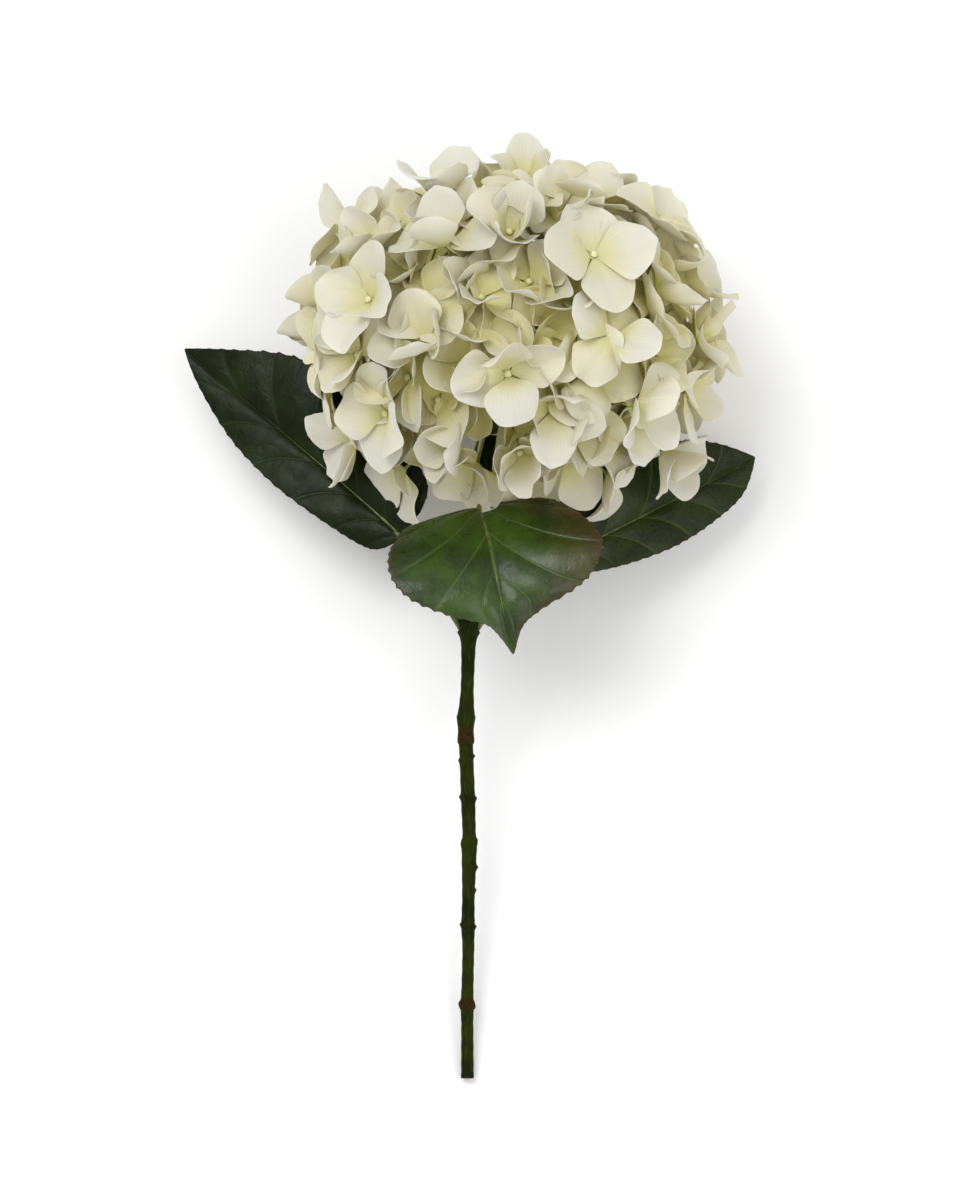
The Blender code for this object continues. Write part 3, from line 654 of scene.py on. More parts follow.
# Front florets: right, along, outward step, roll, petal size in percent, form.
FRONT_FLORETS = (
    (57, 402, 6, 45, 110, "open"),
    (24, 414, 4, 20, 104, "cup"),
    (-45, 384, 5, 8, 106, "cup"),
    (-20, 362, 4, 38, 102, "loose"),
    (1, 386, 0, 70, 98, "cup"),
    (15, 352, 4, 50, 100, "loose"),
    (-15, 436, 3, 30, 102, "cup"),
    (27, 449, 8, 5, 94, "cup"),
    (58, 438, 1, 62, 96, "cup"),
    (87, 424, 4, 15, 100, "open"),
    (99, 396, 1, 50, 98, "cup"),
    (112, 372, 0, 20, 98, "loose"),
    (63, 366, 4, 33, 100, "reflex"),
    (76, 340, 3, 60, 102, "open"),
    (94, 362, -3, 10, 94, "cup"),
    (108, 343, 0, 45, 96, "cup"),
    (42, 332, -2, 15, 96, "cup"),
    (-38, 332, 3, 58, 106, "bell"),
    (-33, 304, 0, 30, 98, "bell"),
    (-6, 318, 0, 25, 98, "loose"),
    (20, 312, 1, 70, 98, "cup"),
    (45, 304, 0, 40, 98, "bell"),
    (68, 303, 2, 5, 98, "bell"),
    (92, 314, 1, 65, 98, "cup"),
    (-60, 422, 0, 40, 100, "cup"),
    (-40, 440, 1, 75, 100, "reflex"),
    (-71, 399, 0, 15, 100, "loose"),
    (-73, 371, -1, 55, 100, "cup"),
    (-69, 344, 0, 30, 100, "reflex"),
    (-54, 314, 1, 10, 100, "bell"),
    (-52, 359, 4, 35, 100, "cup"),
    (-14, 407, 2, 60, 102, "open"),
    (40, 380, -6, 20, 96, "loose"),
    (80, 386, -12, 65, 82, "cup"),
    (-46, 411, -2, 50, 98, "loose"),
    (2, 444, -4, 15, 96, "cup"),
    (-8, 340, -6, 80, 94, "cup"),
    (38, 356, -8, 10, 94, "cup"),
    (-58, 338, -6, 70, 96, "cup"),
    (74, 416, -10, 30, 94, "cup"),
    (84, 330, -10, 20, 92, "cup"),
)
SLOPPINESS = 9.0
# Back florets stand in rings round the head's far pole: outward lean, count, first bearing, roll step, resting.
BACK_RINGS = (
    (68.0, 8, 0.0, 37.0, False),
    (38.0, 5, 54.0, 52.0, True),
)
BACK_SIZE = 100
BACK_BOTTOM_GAP = 30.0
FAR_ROLL = 20.0
# A petal form: pitch of the outer and the inner pair, curl to the tip, cup across, wave height, spread of chance.
FORMS = {
    "open": (3.0, 15.0, 10.0, 16.0, 1.6, 3.0),
    "cup": (12.0, 26.0, 22.0, 28.0, 1.8, 5.0),
    "bell": (32.0, 46.0, -20.0, 34.0, 1.8, 6.0),
    "loose": (6.0, 24.0, 18.0, 30.0, 2.4, 7.0),
    "reflex": (10.0, 26.0, -34.0, -26.0, 1.6, 6.0),
}
PETAL_LENGTH = 30.0 * MM
PETAL_WIDTH = 33.0 * MM
CAD_PETAL_THICK = 0.6 * MM
CAD_PETAL_GAP = 0.3 * MM
CAD_CLEARANCE = 0.4 * MM
CAD_PETAL_CUTS = 3
NARROWING = 0.05
NARROWEST = 0.6
CLAW_SHARE = 0.1
EYE_RADIUS = 2.0 * MM
PAIR_STEP = 0.5 * MM
PEDICEL_TOP = -1.8 * MM
STALK_START = 2.9 * MM
# How a crowded floret may have given way: slid along its stalk, rolled, closed, shrunk, leaned aside.
SLIDES = (0.0, -3.0, 3.0, -6.0, -9.0, -12.0, -15.0, -18.0, -22.0, -26.0)
ROLLS = (0.0, -15.0, 15.0, -30.0, 30.0, 45.0)
CLOSINGS = (0.0, 12.0, 24.0)
SHRINKS = (1.0, 0.87, 0.75, 0.66)
ASIDES = ((0.0, 0.0), (5.0, 0.0), (-5.0, 0.0), (0.0, 5.0), (0.0, -5.0))
TIPS_TRIED = 3
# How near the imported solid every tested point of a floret's petals has to lie.
MATCH = 0.36 * MM
# Where each kind of chance starts counting.
TIPPED_SEED = 1000
FRILL_SEED = 5000
NOD_SEED = 7000
BLOOM_SEED = 9000


def petal_width_share(t):
    """A petal's width along its length: a narrow claw, then a broad round blade."""
    if t < 0.7:
        return CLAW_SHARE + (1 - CLAW_SHARE) * math.sin(math.pi / 2 * t / 0.7) ** 0.9
    return 1.0 - 0.08 * ((t - 0.7) / 0.3) ** 2


def arc(start, bend, share):
    """Forward and upward travel along an arc of unit length that starts at one angle and bends by another."""
    turn = bend * share
    if abs(turn) < 1e-4:
        return share * math.cos(start), share * math.sin(start)
    forward = (math.sin(start + turn) - math.sin(start)) / bend
    upward = (math.cos(start) - math.cos(start + turn)) / bend
    return forward, upward


def petal_point(petal, s, t, ruffle=0.0, reach=0.0):
    """A point of a petal: s runs -1 to 1 across it, t 0 to 1 from eye to tip, ruffle lifts it, reach lengthens it."""
    length, width, pitch, curl, cup, wave, phase, twist, bearing, lift = petal
    along = t - 0.28 * s * s * t * t + reach
    forward, upward = arc(pitch, curl, along)
    across, rise = arc(0.0, cup, s)
    half = 0.5 * width * petal_width_share(t)
    across *= half
    rise *= half
    rise += wave * t * t * (math.sin(2.6 * s + phase) + 0.5 * s * s * math.sin(5.0 * t + 2.0 * phase))
    rise += ruffle
    turned = twist * t
    side = across * math.cos(turned) - rise * math.sin(turned)
    up = across * math.sin(turned) + rise * math.cos(turned)
    slope = pitch + curl * along
    radial = EYE_RADIUS + length * forward - up * math.sin(slope) * min(1.0, 4.0 * t)
    height = (lift + up * math.cos(slope)) * min(1.0, 4.0 * t) + length * upward
    return Vector((
        radial * math.cos(bearing) - side * math.sin(bearing),
        radial * math.sin(bearing) + side * math.cos(bearing),
        height,
    ))


def drawn_petals(form, size, closing, narrow, seed):
    """The four petals of one floret, each a little different."""
    dice = random.Random(seed)
    outer, inner, curl, cup, wave, spread = FORMS[form]
    petals = []
    for k in range(4):
        pitch = (outer if k % 2 else inner) + closing
        length = PETAL_LENGTH * size * dice.uniform(0.93, 1.07)
        width = PETAL_WIDTH * size * narrow * dice.uniform(0.92, 1.06)
        petals.append((
            length,
            width,
            math.radians(pitch + dice.uniform(-0.5, 0.5) * spread),
            math.radians(curl + dice.uniform(-2.0, 2.0) * spread),
            math.radians(cup + dice.uniform(-1.0, 1.0) * spread),
            wave * MM * dice.uniform(0.6, 1.2),
            dice.uniform(0.0, 2 * math.pi),
            math.radians(dice.uniform(-1.0, 1.0) * spread),
            math.pi / 2 * k + math.radians(dice.uniform(-3.0, 3.0)),
            -PAIR_STEP if k % 2 else PAIR_STEP,
        ))
    return petals


def petal_sheet(shape, petal, cuts):
    """Adds one petal to a mesh as a bent grid facing up. Returns its foot, from side to side."""
    grid = bmesh.ops.create_grid(shape, x_segments=cuts, y_segments=cuts, size=1.0)
    foot = sorted((v for v in grid["verts"] if v.co.y < -0.99), key=lambda v: -v.co.x)
    for v in grid["verts"]:
        v.co = petal_point(petal, -v.co.x, (v.co.y + 1.0) / 2)
    return foot


def thicken(shape, thick):
    """Makes a sheet into a wall, half to each side."""
    shape.normal_update()
    for v in shape.verts:
        v.co += v.normal * thick / 2
    bmesh.ops.solidify(shape, geom=shape.faces[:], thickness=thick)


def wall_of(shape, thick):
    """Points and faces of a sheet made into a wall. The sheet is used up."""
    thicken(shape, thick)
    points = [v.co.copy() for v in shape.verts]
    faces = [[v.index for v in face.verts] for face in shape.faces]
    shape.free()
    return points, faces


def petals_cross(petals):
    """Whether neighbouring petals of one floret run through each other."""
    trees = []
    for petal in petals:
        shape = bmesh.new()
        petal_sheet(shape, petal, CAD_PETAL_CUTS)
        trees.append(BVHTree.FromPolygons(*wall_of(shape, CAD_PETAL_THICK + CAD_PETAL_GAP)))
    return any(trees[k].overlap(trees[(k + 1) % 4]) for k in range(4))


def floret_petals(form, size, closing, seed):
    """The floret's petals, narrowed until none runs through its neighbour."""
    narrow = 1.0
    petals = drawn_petals(form, size, closing, narrow, seed)
    while petals_cross(petals) and narrow > NARROWEST:
        narrow -= NARROWING
        petals = drawn_petals(form, size, closing, narrow, seed)
    return petals


def floret_place(eye, axis, slide, roll, aside):
    """Where a floret stands: its eye, slid along its axis or aside, and its turn about it."""
    upright = axis.to_track_quat("Z", "Y")
    stand = upright @ Quaternion(TO_FRONT, math.radians(roll))
    eye = eye + axis * slide + upright @ Vector((aside[0], aside[1], 0.0)) * MM
    return Matrix.Translation(eye) @ stand.to_matrix().to_4x4()


def front_eye(right, along, step):
    """A floret's eye on the front of the shell, and the way it faces."""
    x = (right * MM - HEAD_CENTRE.x) / SHELL.x
    y = (along * MM - HEAD_CENTRE.y) / SHELL.y
    z = math.sqrt(max(1.0 - x * x - y * y, 0.0))
    eye = Vector((right * MM, along * MM, z * SHELL.z))
    axis = (eye - HEAD_HEART).normalized()
    return eye + axis * step * MM, axis


def back_eye(lean, bearing):
    """A floret's eye on the back of the shell, and the way it faces."""
    lean = math.radians(lean)
    bearing = math.radians(bearing)
    way = Vector((
        math.sin(lean) * math.cos(bearing),
        math.sin(lean) * math.sin(bearing),
        -math.cos(lean),
    ))
    eye = HEAD_CENTRE + way * SHELL
    return eye, (eye - HEAD_HEART).normalized()


def on_ball(point):
    """Where a point lies when the shell is a ball of radius one round the middle."""
    way = point - HEAD_CENTRE
    return Vector((way.x / SHELL.x, way.y / SHELL.y, way.z / SHELL.z))


def tipped(axis, seed):
    """The axis leaned a little at random, as stalks never point quite straight out."""
    dice = random.Random(TIPPED_SEED + seed)
    lean = math.radians(dice.uniform(0.0, SLOPPINESS))
    across = axis.orthogonal().normalized()
    across.rotate(Quaternion(axis, dice.uniform(0.0, 2 * math.pi)))
    return Quaternion(across, lean) @ axis


def floret_plan():
    """Every floret's eye, axis, roll, size, form and whether the head rests on it, front ones first."""
    plan = []
    for right, along, step, roll, size, form in FRONT_FLORETS:
        eye, axis = front_eye(right, along, step)
        plan.append((eye, tipped(axis, len(plan)), roll, size / 100, form, False))
    for lean, count, first, roll_step, rests in BACK_RINGS:
        for k in range(count):
            bearing = first + 360.0 * k / count
            if not rests and abs(bearing - 270.0) < BACK_BOTTOM_GAP:
                continue
            eye, axis = back_eye(lean, bearing)
            plan.append((eye, axis, roll_step * k, BACK_SIZE / 100, "cup", rests and bearing > 180.0))
    eye, axis = back_eye(0.0, 0.0)
    plan.append((eye, axis, FAR_ROLL, BACK_SIZE / 100, "open", True))
    return plan


def above_ground(points):
    """How far the lowest point stands above the ground once the flower lies down."""
    return min(p.y * math.sin(LYING_TILT) + p.z * math.cos(LYING_TILT) for p in points) - GROUND


def packed_points(node):
    """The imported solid's corners as a search tree, in the lie that the flower is drawn in."""
    back = lying.inverted()
    tree = kdtree.KDTree(len(node.data.vertices))
    for v in node.data.vertices:
        tree.insert(back @ v.co, v.index)
    tree.balance()
    return tree


def stands(resting_guard, entry):
    """Every place this floret may stand at. A resting one slides until its guard touches the ground."""
    eye, axis, roll, size, form, rests = entry
    down = -(axis.y * math.sin(LYING_TILT) + axis.z * math.cos(LYING_TILT))
    for turn in ROLLS:
        for aside in ASIDES:
            if rests:
                place = floret_place(eye, axis, 0.0, roll + turn, aside)
                slide = above_ground([place @ point for point in resting_guard]) / down
                yield floret_place(eye, axis, slide, roll + turn, aside)
            else:
                for slide in SLIDES:
                    yield floret_place(eye, axis, slide * MM, roll + turn, aside)


def found_stand(seed, entry, tree):
    """The petals and the place of a floret as packed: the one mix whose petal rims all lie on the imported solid."""
    eye, axis, roll, size, form, rests = entry
    for closing in CLOSINGS:
        for shrink in SHRINKS:
            petals = floret_petals(form, size * shrink, closing, seed)
            thirds = (-1.0, 1.0, -1 / 3, 1 / 3)
            rims = [petal_point(petal, s, t) for t in (1.0, 2 / 3) for petal in petals for s in thirds]
            guard = ()
            if rests:
                shape = bmesh.new()
                feet = [petal_sheet(shape, petal, CAD_PETAL_CUTS) for petal in petals]
                bmesh.ops.contextual_create(shape, geom=[v for foot in feet for v in foot])
                guard = wall_of(shape, CAD_PETAL_THICK + CAD_CLEARANCE)[0]
            for place in stands(guard, entry):
                if all(tree.find(place @ rim)[2] < MATCH for rim in rims):
                    return shrink, closing, place
    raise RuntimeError("floret " + str(seed + 1) + " isn't where the plan says")


PETAL_THICK = 0.22 * MM
PETAL_CUTS = 18
# A petal in bloom against its plan: length and width, the shares of its closing kept and of its shrinking undone,
# waves, step between the pairs, and further twist and bearing in degrees.
BLOOM_LENGTH = 0.88
BLOOM_WIDTH = 0.82
OPENED = 0.6
GROWN = 0.75
BLOOM_WAVE = 1.4
BLOOM_STEP = 1.8
BLOOM_TWIST = 18.0
BLOOM_BEARING = 7.0
# Further pitch, curl and cup of a petal in degrees, least and most, by form.
BLOOM_BENDS = {
    "open": ((-8.0, 12.0), (-60.0, 40.0), (-14.0, 28.0)),
    "bell": ((-18.0, 4.0), (-40.0, 30.0), (-40.0, -14.0)),
    "cup": ((-4.0, 25.0), (-70.0, 40.0), (-14.0, 30.0)),
    "loose": ((-4.0, 28.0), (-70.0, 40.0), (-14.0, 30.0)),
    "reflex": ((-4.0, 25.0), (-60.0, 40.0), (-14.0, 30.0)),
}
# Florets lean on their stalks: all by chance, low ones forward too, the top one most of all. Degrees.
NOD = 12.0
FOOT_NOD = 20.0
FOOT_FACING = -0.3
TOP_FLORET = 7
TOP_NOD = 60.0
TOP_GROWTH = 0.85
TOP_DROP = Vector((0.0, -7.0, 3.0)) * MM
OPEN_RISE = TO_FRONT * 3.0 * MM
SUNK_FLORETS = (8,)
SUNK_STEP = TO_FRONT * -5.0 * MM


def in_bloom(form, size, closing, seed):
    """The planned petals at their full width, each bent and turned a little further in its own way."""
    dice = random.Random(BLOOM_SEED + seed)
    pitches, curls, cups = BLOOM_BENDS[form]
    petals = []
    for petal in drawn_petals(form, size, closing, 1.0, seed):
        length, width, pitch, curl, cup, wave, phase, twist, bearing, lift = petal
        petals.append((
            length * BLOOM_LENGTH,
            width * BLOOM_WIDTH,
            pitch + math.radians(dice.uniform(*pitches)),
            curl + math.radians(dice.uniform(*curls)),
            cup + math.radians(dice.uniform(*cups)),
            wave * BLOOM_WAVE,
            phase,
            twist + math.radians(dice.uniform(-BLOOM_TWIST, BLOOM_TWIST)),
            bearing + math.radians(dice.uniform(-BLOOM_BEARING, BLOOM_BEARING)),
            lift * BLOOM_STEP,
        ))
    return petals


BUD_RADIUS = 1.8 * MM
BUD_HEIGHT = 1.3 * MM
BUD_GROOVE = 0.09
BUD_SQUASH = 0.82
STALK_RADIUS = 0.62
STALK_FLARE = 1.3
STALK_FOOT = 0.5
STALK_HUMP = 0.05
STALK_BEND = 0.35
# The shares of a stalk at which it has left the petals and at which it meets its branch.
STALK_TOP_SHARE = 0.06
STALK_TIP_SHARE = 0.94
# Where a petal starts to round off, by how much, and how much wider its middle is.
ROUNDING_START = 0.55
ROUNDING = 0.3
FULLNESS = 0.13
# A petal's fine ripples: height and count.
RIPPLE = 0.16 * MM
RIPPLE_PACE = 11.0
# The least and the most of a rim's frill, of its roll and of the crease, and how a tip may be drawn out.
FRILL_HEIGHT = (0.3, 1.1)
FRILL_COUNT = (3.5, 7.5)
RIM_ROLL = (-2.2, 2.2)
CREASE_DEPTH = (0.2, 0.9)
TIP_POINTS = (0.0, 0.0, 0.02, 0.035, -0.03)
# The painted yellow glow of light through the petals, on the head's inner part, begins this far out, where 1 is the
# shell.
PAINTED_GLOW_LIMIT = 1.3


def drawn_frill(seed, petal_number):
    """How one petal is frilled: height, count, phase, roll of the rim, crease depth, point of the tip, tone."""
    dice = random.Random(FRILL_SEED + 10 * seed + petal_number)
    return (
        dice.uniform(*FRILL_HEIGHT) * MM,
        dice.uniform(*FRILL_COUNT),
        dice.uniform(0.0, 2 * math.pi),
        dice.uniform(*RIM_ROLL) * MM,
        dice.uniform(*CREASE_DEPTH) * MM,
        dice.choice(TIP_POINTS),
        dice.uniform(0.0, 1.0),
    )


def frilled_point(petal, frill, s, t):
    """A point of the finished petal: rounded corners, a frilled and rolled rim, a crease down the middle."""
    height, count, phase, roll, crease, point, tone = frill
    toward_tip = max(0.0, (t - ROUNDING_START) / (1.0 - ROUNDING_START))
    narrowed = s * (1.0 - ROUNDING * toward_tip**3) * (1.0 + FULLNESS * math.sin(math.pi * min(t / 0.75, 1.0)))
    rim = max(abs(s) ** 5 * min(1.0, 2.0 * t), t**7)
    ruffle = height * rim * (math.sin(count * narrowed + phase) + 0.7 * math.sin(0.8 * count * t + 2.0 * phase))
    ruffle += roll * rim**1.3 * (0.6 + 0.4 * math.sin(phase + 2.0 * narrowed))
    ruffle -= crease * bump_over(narrowed, 0.16) * min(1.0, 2.5 * t) * (1.0 - 0.6 * t)
    ruffle += RIPPLE * math.sin(RIPPLE_PACE * narrowed + phase) * t * (1.3 - t)
    reach = point * bump_over(narrowed, 0.17) * toward_tip**2
    return petal_point(petal, narrowed, t, ruffle, reach), narrowed


def stalk_bend(place, tip):
    """The four points that bend a floret's stalk, from under its petals to just short of a branch's tip."""
    start = place @ (TO_FRONT * PEDICEL_TOP)
    axis = (place.to_quaternion() @ TO_FRONT).normalized()
    leave = (start - tip).normalized()
    end = tip + leave * STALK_START
    reach = STALK_BEND * (start - end).length
    return start, start - axis * reach, end + leave * reach, end


def tips_near(eye):
    """The tips of the branches, nearest first."""
    return sorted((Vector(tip) * MM for tip in BRANCH_TIPS), key=lambda tip: (tip - eye).length)


def packed_tip(eye, place, tree):
    """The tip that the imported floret's stalk springs from."""
    return min(tips_near(eye)[:TIPS_TRIED], key=lambda tip: tree.find(stalk_bend(place, tip)[3])[2])


def nodding(seed, place):
    """The floret's stand once it has leaned a little on its stalk. The top one and the lowest ones look forward."""
    dice = random.Random(NOD_SEED + seed)
    lean = Matrix.Rotation(math.radians(dice.uniform(-NOD, NOD)), 4, "X")
    lean = lean @ Matrix.Rotation(math.radians(dice.uniform(-NOD, NOD)), 4, "Y")
    facing = place.to_quaternion() @ TO_FRONT
    forward = 0.0
    if seed == TOP_FLORET:
        forward, lean = TOP_NOD, Matrix()
    elif facing.y < FOOT_FACING and facing.z > 0.0:
        forward = -FOOT_NOD
    eye = Matrix.Translation(place.translation)
    return eye @ Matrix.Rotation(math.radians(forward), 4, "X") @ eye.inverted() @ place @ lean


def floret_shape(seed, petals, place, tip):
    """One floret: four petals as one thin wall, and on its middle a bud and a stalk."""
    shape = bmesh.new()
    across = shape.verts.layers.float.new("across")
    along = shape.verts.layers.float.new("along")
    tone = shape.verts.layers.float.new("tone")
    # How deep in the head a point lies, which sets the painted yellow glow of light shining through the petals.
    inside = shape.verts.layers.float.new("inside")
    feet = []
    for number, petal in enumerate(petals):
        frill = drawn_frill(seed, number)
        grid = bmesh.ops.create_grid(shape, x_segments=PETAL_CUTS, y_segments=PETAL_CUTS, size=1.0)
        feet += sorted((v for v in grid["verts"] if v.co.y < -0.999), key=lambda v: -v.co.x)
        for v in grid["verts"]:
            t = (v.co.y + 1.0) / 2
            v.co, v[across] = frilled_point(petal, frill, -v.co.x, t)
            v[along] = t
            v[tone] = frill[-1]
    shape.faces.new(feet)
    thicken(shape, PETAL_THICK)
    petal_faces = len(shape.faces)

    bud = bmesh.ops.create_uvsphere(shape, u_segments=20, v_segments=12, radius=1.0)
    for v in bud["verts"]:
        bearing = math.atan2(v.co.y, v.co.x)
        groove = 1.0 - BUD_GROOVE * abs(math.cos(2.0 * bearing + 0.6)) ** 6
        v[along] = 1.0
        v.co = Vector((v.co.x * groove, v.co.y * groove, v.co.z * BUD_SQUASH)) * BUD_RADIUS
        v.co.z += BUD_HEIGHT
    bmesh.ops.transform(shape, matrix=nodding(seed, place), verts=shape.verts)
    for v in shape.verts:
        v[inside] = PAINTED_GLOW_LIMIT - on_ball(v.co).length

    start, leave, arrive, end = stalk_bend(place, tip)
    middle = place.translation.copy()

    def stalk_centre(t):
        if t < STALK_TOP_SHARE:
            return middle.lerp(start, t / STALK_TOP_SHARE)
        if t > STALK_TIP_SHARE:
            return end.lerp(tip, (t - STALK_TIP_SHARE) / (1.0 - STALK_TIP_SHARE))
        u = (t - STALK_TOP_SHARE) / (STALK_TIP_SHARE - STALK_TOP_SHARE)
        a = start.lerp(leave, u)
        b = leave.lerp(arrive, u)
        c = arrive.lerp(end, u)
        return a.lerp(b, u).lerp(b.lerp(c, u), u)

    def stalk_radius(t, bearing):
        flare = STALK_FLARE * bump_over(t, STALK_HUMP) + STALK_FOOT * bump_over(t - 1.0, STALK_HUMP)
        return (STALK_RADIUS + flare) * MM

    for v in tube(shape, stalk_centre, stalk_radius, 36, 10):
        v[along] = 0.0
    shape.faces.ensure_lookup_table()
    for face in shape.faces[petal_faces:]:
        face.material_index = 1
    return shape


silk = Finish(
    "petal_cream",
    Subsurface_Weight=0.35,
    Subsurface_Radius=(1.0, 0.88, 0.55),
    Subsurface_Scale=1.6 * MM,
    Specular_IOR_Level=0.3,
    Sheen_Weight=0.08,
)
at = silk.place()
across = silk.marked("across")
along = silk.marked("along")
tone = silk.marked("tone")
fan = silk.node("ShaderNodeCombineXYZ", {}, {"X": across * 34.0, "Y": along * 2.6, "Z": tone * 40.0})
streaks = silk.noise(fan, 1.0, 4.0, 0.6)
clouds = silk.noise(at, 70.0, 3.0)
waver = silk.noise(at, 160.0, 2.0)
ripple = abs((across + (waver - 0.5) * 0.05) * 6.5).off_whole()
vein = silk.rise(ripple, 0.0, 0.16, 1.0, 0.0) * silk.rise(along, 0.1, 0.95, 1.0, 0.2)
cream = silk.blend(tone, dye(213, 212, 204), dye(210, 206, 190))
cream = silk.blend(silk.rise(clouds, 0.35, 0.7, 0.0, 0.35), cream, dye(216, 209, 180))
cream = silk.blend(streaks * 0.2, cream, dye(202, 194, 152))
cream = silk.blend(vein * 0.24, cream, dye(192, 186, 136))
# Painted glow: petals deep in the head turn warm yellow, painted in for light shining through the petals in the
# head's shade.
cream = silk.blend(silk.rise(silk.marked("inside"), 0.08, 0.52, 0.0, 0.9), cream, dye(231, 221, 140))
cream = silk.blend(silk.rise(along, 0.86, 1.0, 0.0, 0.15), cream, dye(228, 227, 219))
claw = silk.rise(along + (clouds - 0.5) * 0.2, 0.02, 0.6, 0.55, 0.0)
petal_material = silk.paint(
    Base_Color=silk.blend(claw, cream, dye(212, 206, 116)),
    Roughness=silk.rise(streaks, 0.3, 0.7, 0.5, 0.66),
    Normal=silk.bumped(streaks * 0.6 - vein * 0.7, 0.22 * MM, 0.7),
)

fresh = Finish("stalk_green", Roughness=0.5, Subsurface_Weight=0.2, Subsurface_Scale=1.0 * MM)
at = fresh.place()
specks = fresh.noise(at, 420.0, 3.0)
green = fresh.mottled(specks, dye(132, 146, 58), dye(176, 186, 92))
bud_cream = fresh.mottled(specks, dye(214, 214, 150), dye(228, 226, 182))
stalk_material = fresh.paint(
    Base_Color=fresh.blend(fresh.marked("along"), green, bud_cream),
    Normal=fresh.bumped(specks, 0.15 * MM, 0.6),
)


def add_floret(name, seed, petals, place, tip, node=None):
    """A finished floret with cream petals and a green stalk."""
    floret = piece_of(name, floret_shape(seed, petals, place, tip), petal_material, node)
    floret.data.materials.append(stalk_material)


plan = floret_plan()
for index, entry in enumerate(plan):
    eye, axis, roll, size, form, rests = entry
    node = f"floret_{index + 1:02d}"
    tree = packed_points(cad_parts[node])
    shrink, closing, place = found_stand(index, entry, tree)
    size *= shrink + GROWN * (1.0 - shrink)
    if form == "open" and not rests:
        place = place @ Matrix.Translation(OPEN_RISE)
    if index in SUNK_FLORETS:
        place = place @ Matrix.Translation(SUNK_STEP)
    if index == TOP_FLORET:
        size *= TOP_GROWTH
        place = Matrix.Translation(TOP_DROP) @ place
    petals = in_bloom(form, size, closing * OPENED, index)
    add_floret(node + "_petals", index, petals, place, packed_tip(eye, place, tree), node)

# More florets sit a little deeper, where the outer ones leave the widest gaps. On the front none sits in the window
# at the foot of the head, through which the crown shows.
GAP_FLORETS = 60
GAP_DEPTH = 0.95
GAP_DEEPER = 0.003
GAP_SIZE = 1.0
GAP_SPOTS = 500
GAP_BACK_LIMIT = -0.85
GAP_FRONT_PULL = 0.6
GAP_SEED = 200
GAP_ROLL = 47.0
GAP_FORMS = ("cup", "loose", "bell", "cup", "reflex", "loose", "cup")
GOLDEN_TURN = math.pi * (3.0 - math.sqrt(5.0))
CROWN_WINDOW = Vector((14.0, 331.0)) * MM
CROWN_WINDOW_REACH = 24.0 * MM


def room_round(spot, taken):
    """How wide a gap a spot lies in. A spot nearer the front counts for more."""
    return min((spot - other).length for other in taken) * (1.0 + GAP_FRONT_PULL * spot.z)


taken = [on_ball(entry[0]).normalized() for entry in plan]
spots = []
for k in range(GAP_SPOTS):
    z = 1.0 - 2.0 * (k + 0.5) / GAP_SPOTS
    ring = math.sqrt(1.0 - z * z)
    way = Vector((ring * math.cos(GOLDEN_TURN * k), ring * math.sin(GOLDEN_TURN * k), z))
    eye = HEAD_CENTRE + way * SHELL * GAP_DEPTH
    if z > GAP_BACK_LIMIT and (z < 0.0 or (eye.xy - CROWN_WINDOW).length > CROWN_WINDOW_REACH):
        spots.append(way)
for number in range(GAP_FLORETS):
    way = max(spots, key=lambda spot: room_round(spot, taken))
    taken.append(way)
    seed = GAP_SEED + number
    eye = HEAD_CENTRE + way * SHELL * (GAP_DEPTH - GAP_DEEPER * number)
    axis = tipped((eye - HEAD_HEART).normalized(), seed)
    place = floret_place(eye, axis, 0.0, GAP_ROLL * number, (0.0, 0.0))
    petals = in_bloom(GAP_FORMS[number % len(GAP_FORMS)], GAP_SIZE, 0.0, seed)
    add_floret(f"inner_floret_{number + 1:02d}", seed, petals, place, tips_near(eye)[0])

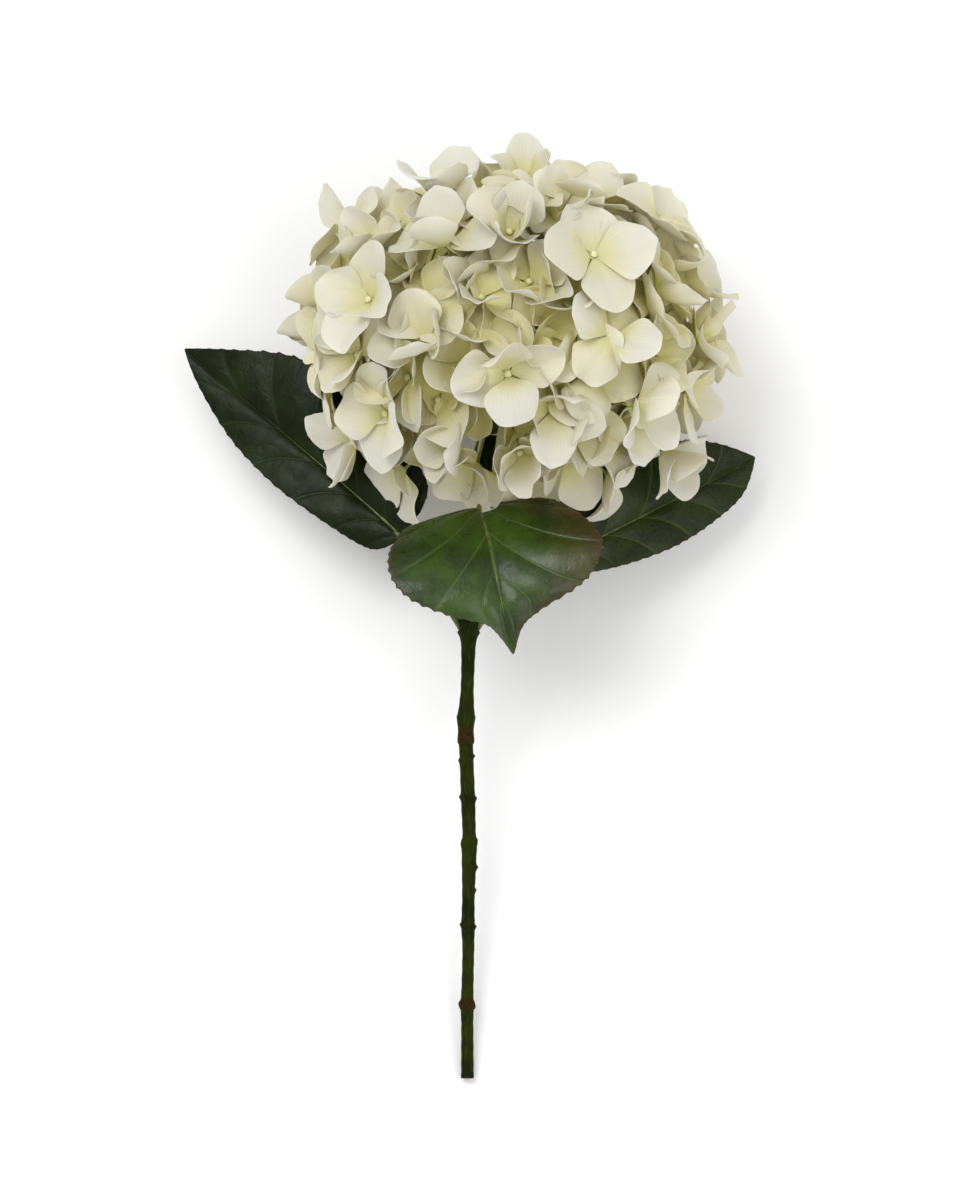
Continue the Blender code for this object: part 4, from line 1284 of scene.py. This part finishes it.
# -----------------------------------------------------------------------------
# The setting: a plain pale floor, a pale room, soft lamps, and the camera looking straight down on the flower's
# front, across its stem.
# -----------------------------------------------------------------------------
FLOOR_REACH = 4.0
CAMERA_LENS = 220.0
SENSOR = 36.0
VIEW_WIDTH = 0.480
VIEW_MIDDLE = Vector((5.5, 239.0, 0.0)) * MM
FLOOR_GREY = 0.95
ROOM_LIGHT = 0.72
# Square lamps that shine at the middle of the head: place, size, power.
LAMPS = {
    "key_lamp": ((-0.9, 0.6, 2.5), 1.4, 31.0),
    "fill_lamp": ((1.1, -0.7, 2.0), 1.6, 14.0),
}

shape = bmesh.new()
bmesh.ops.create_grid(shape, x_segments=1, y_segments=1, size=FLOOR_REACH)
floor_mesh = bpy.data.meshes.new("floor")
shape.to_mesh(floor_mesh)
shape.free()
floor = bpy.data.objects.new("floor", floor_mesh)
bpy.context.scene.collection.objects.link(floor)
pale = Finish("floor_pale", Roughness=0.9, Specular_IOR_Level=0.1)
pale.shader.inputs["Base Color"].default_value = (FLOOR_GREY, FLOOR_GREY, FLOOR_GREY, 1.0)
floor_mesh.materials.append(pale.material)

world = bpy.data.worlds.new("room")
world.use_nodes = True
world.node_tree.nodes["Background"].inputs["Color"].default_value = (1.0, 1.0, 1.0, 1.0)
world.node_tree.nodes["Background"].inputs["Strength"].default_value = ROOM_LIGHT
bpy.context.scene.world = world
bpy.context.scene.view_settings.view_transform = "Standard"

for name, (place, size, power) in LAMPS.items():
    lamp = bpy.data.lights.new(name, "AREA")
    lamp.size = size
    lamp.energy = power
    holder = bpy.data.objects.new(name, lamp)
    holder.location = place
    holder.rotation_euler = (lying @ HEAD_CENTRE - Vector(place)).to_track_quat("-Z", "Y").to_euler()
    bpy.context.scene.collection.objects.link(holder)

camera = bpy.data.cameras.new("camera")
camera.lens = CAMERA_LENS
camera.sensor_width = SENSOR
camera.sensor_fit = "HORIZONTAL"
camera.clip_end = 50.0
viewer = bpy.data.objects.new("camera", camera)
distance = VIEW_WIDTH / (SENSOR / CAMERA_LENS)
viewer.matrix_world = lying @ Matrix.Translation(VIEW_MIDDLE + Vector((0.0, 0.0, distance)))
bpy.context.scene.collection.objects.link(viewer)
bpy.context.scene.camera = viewer
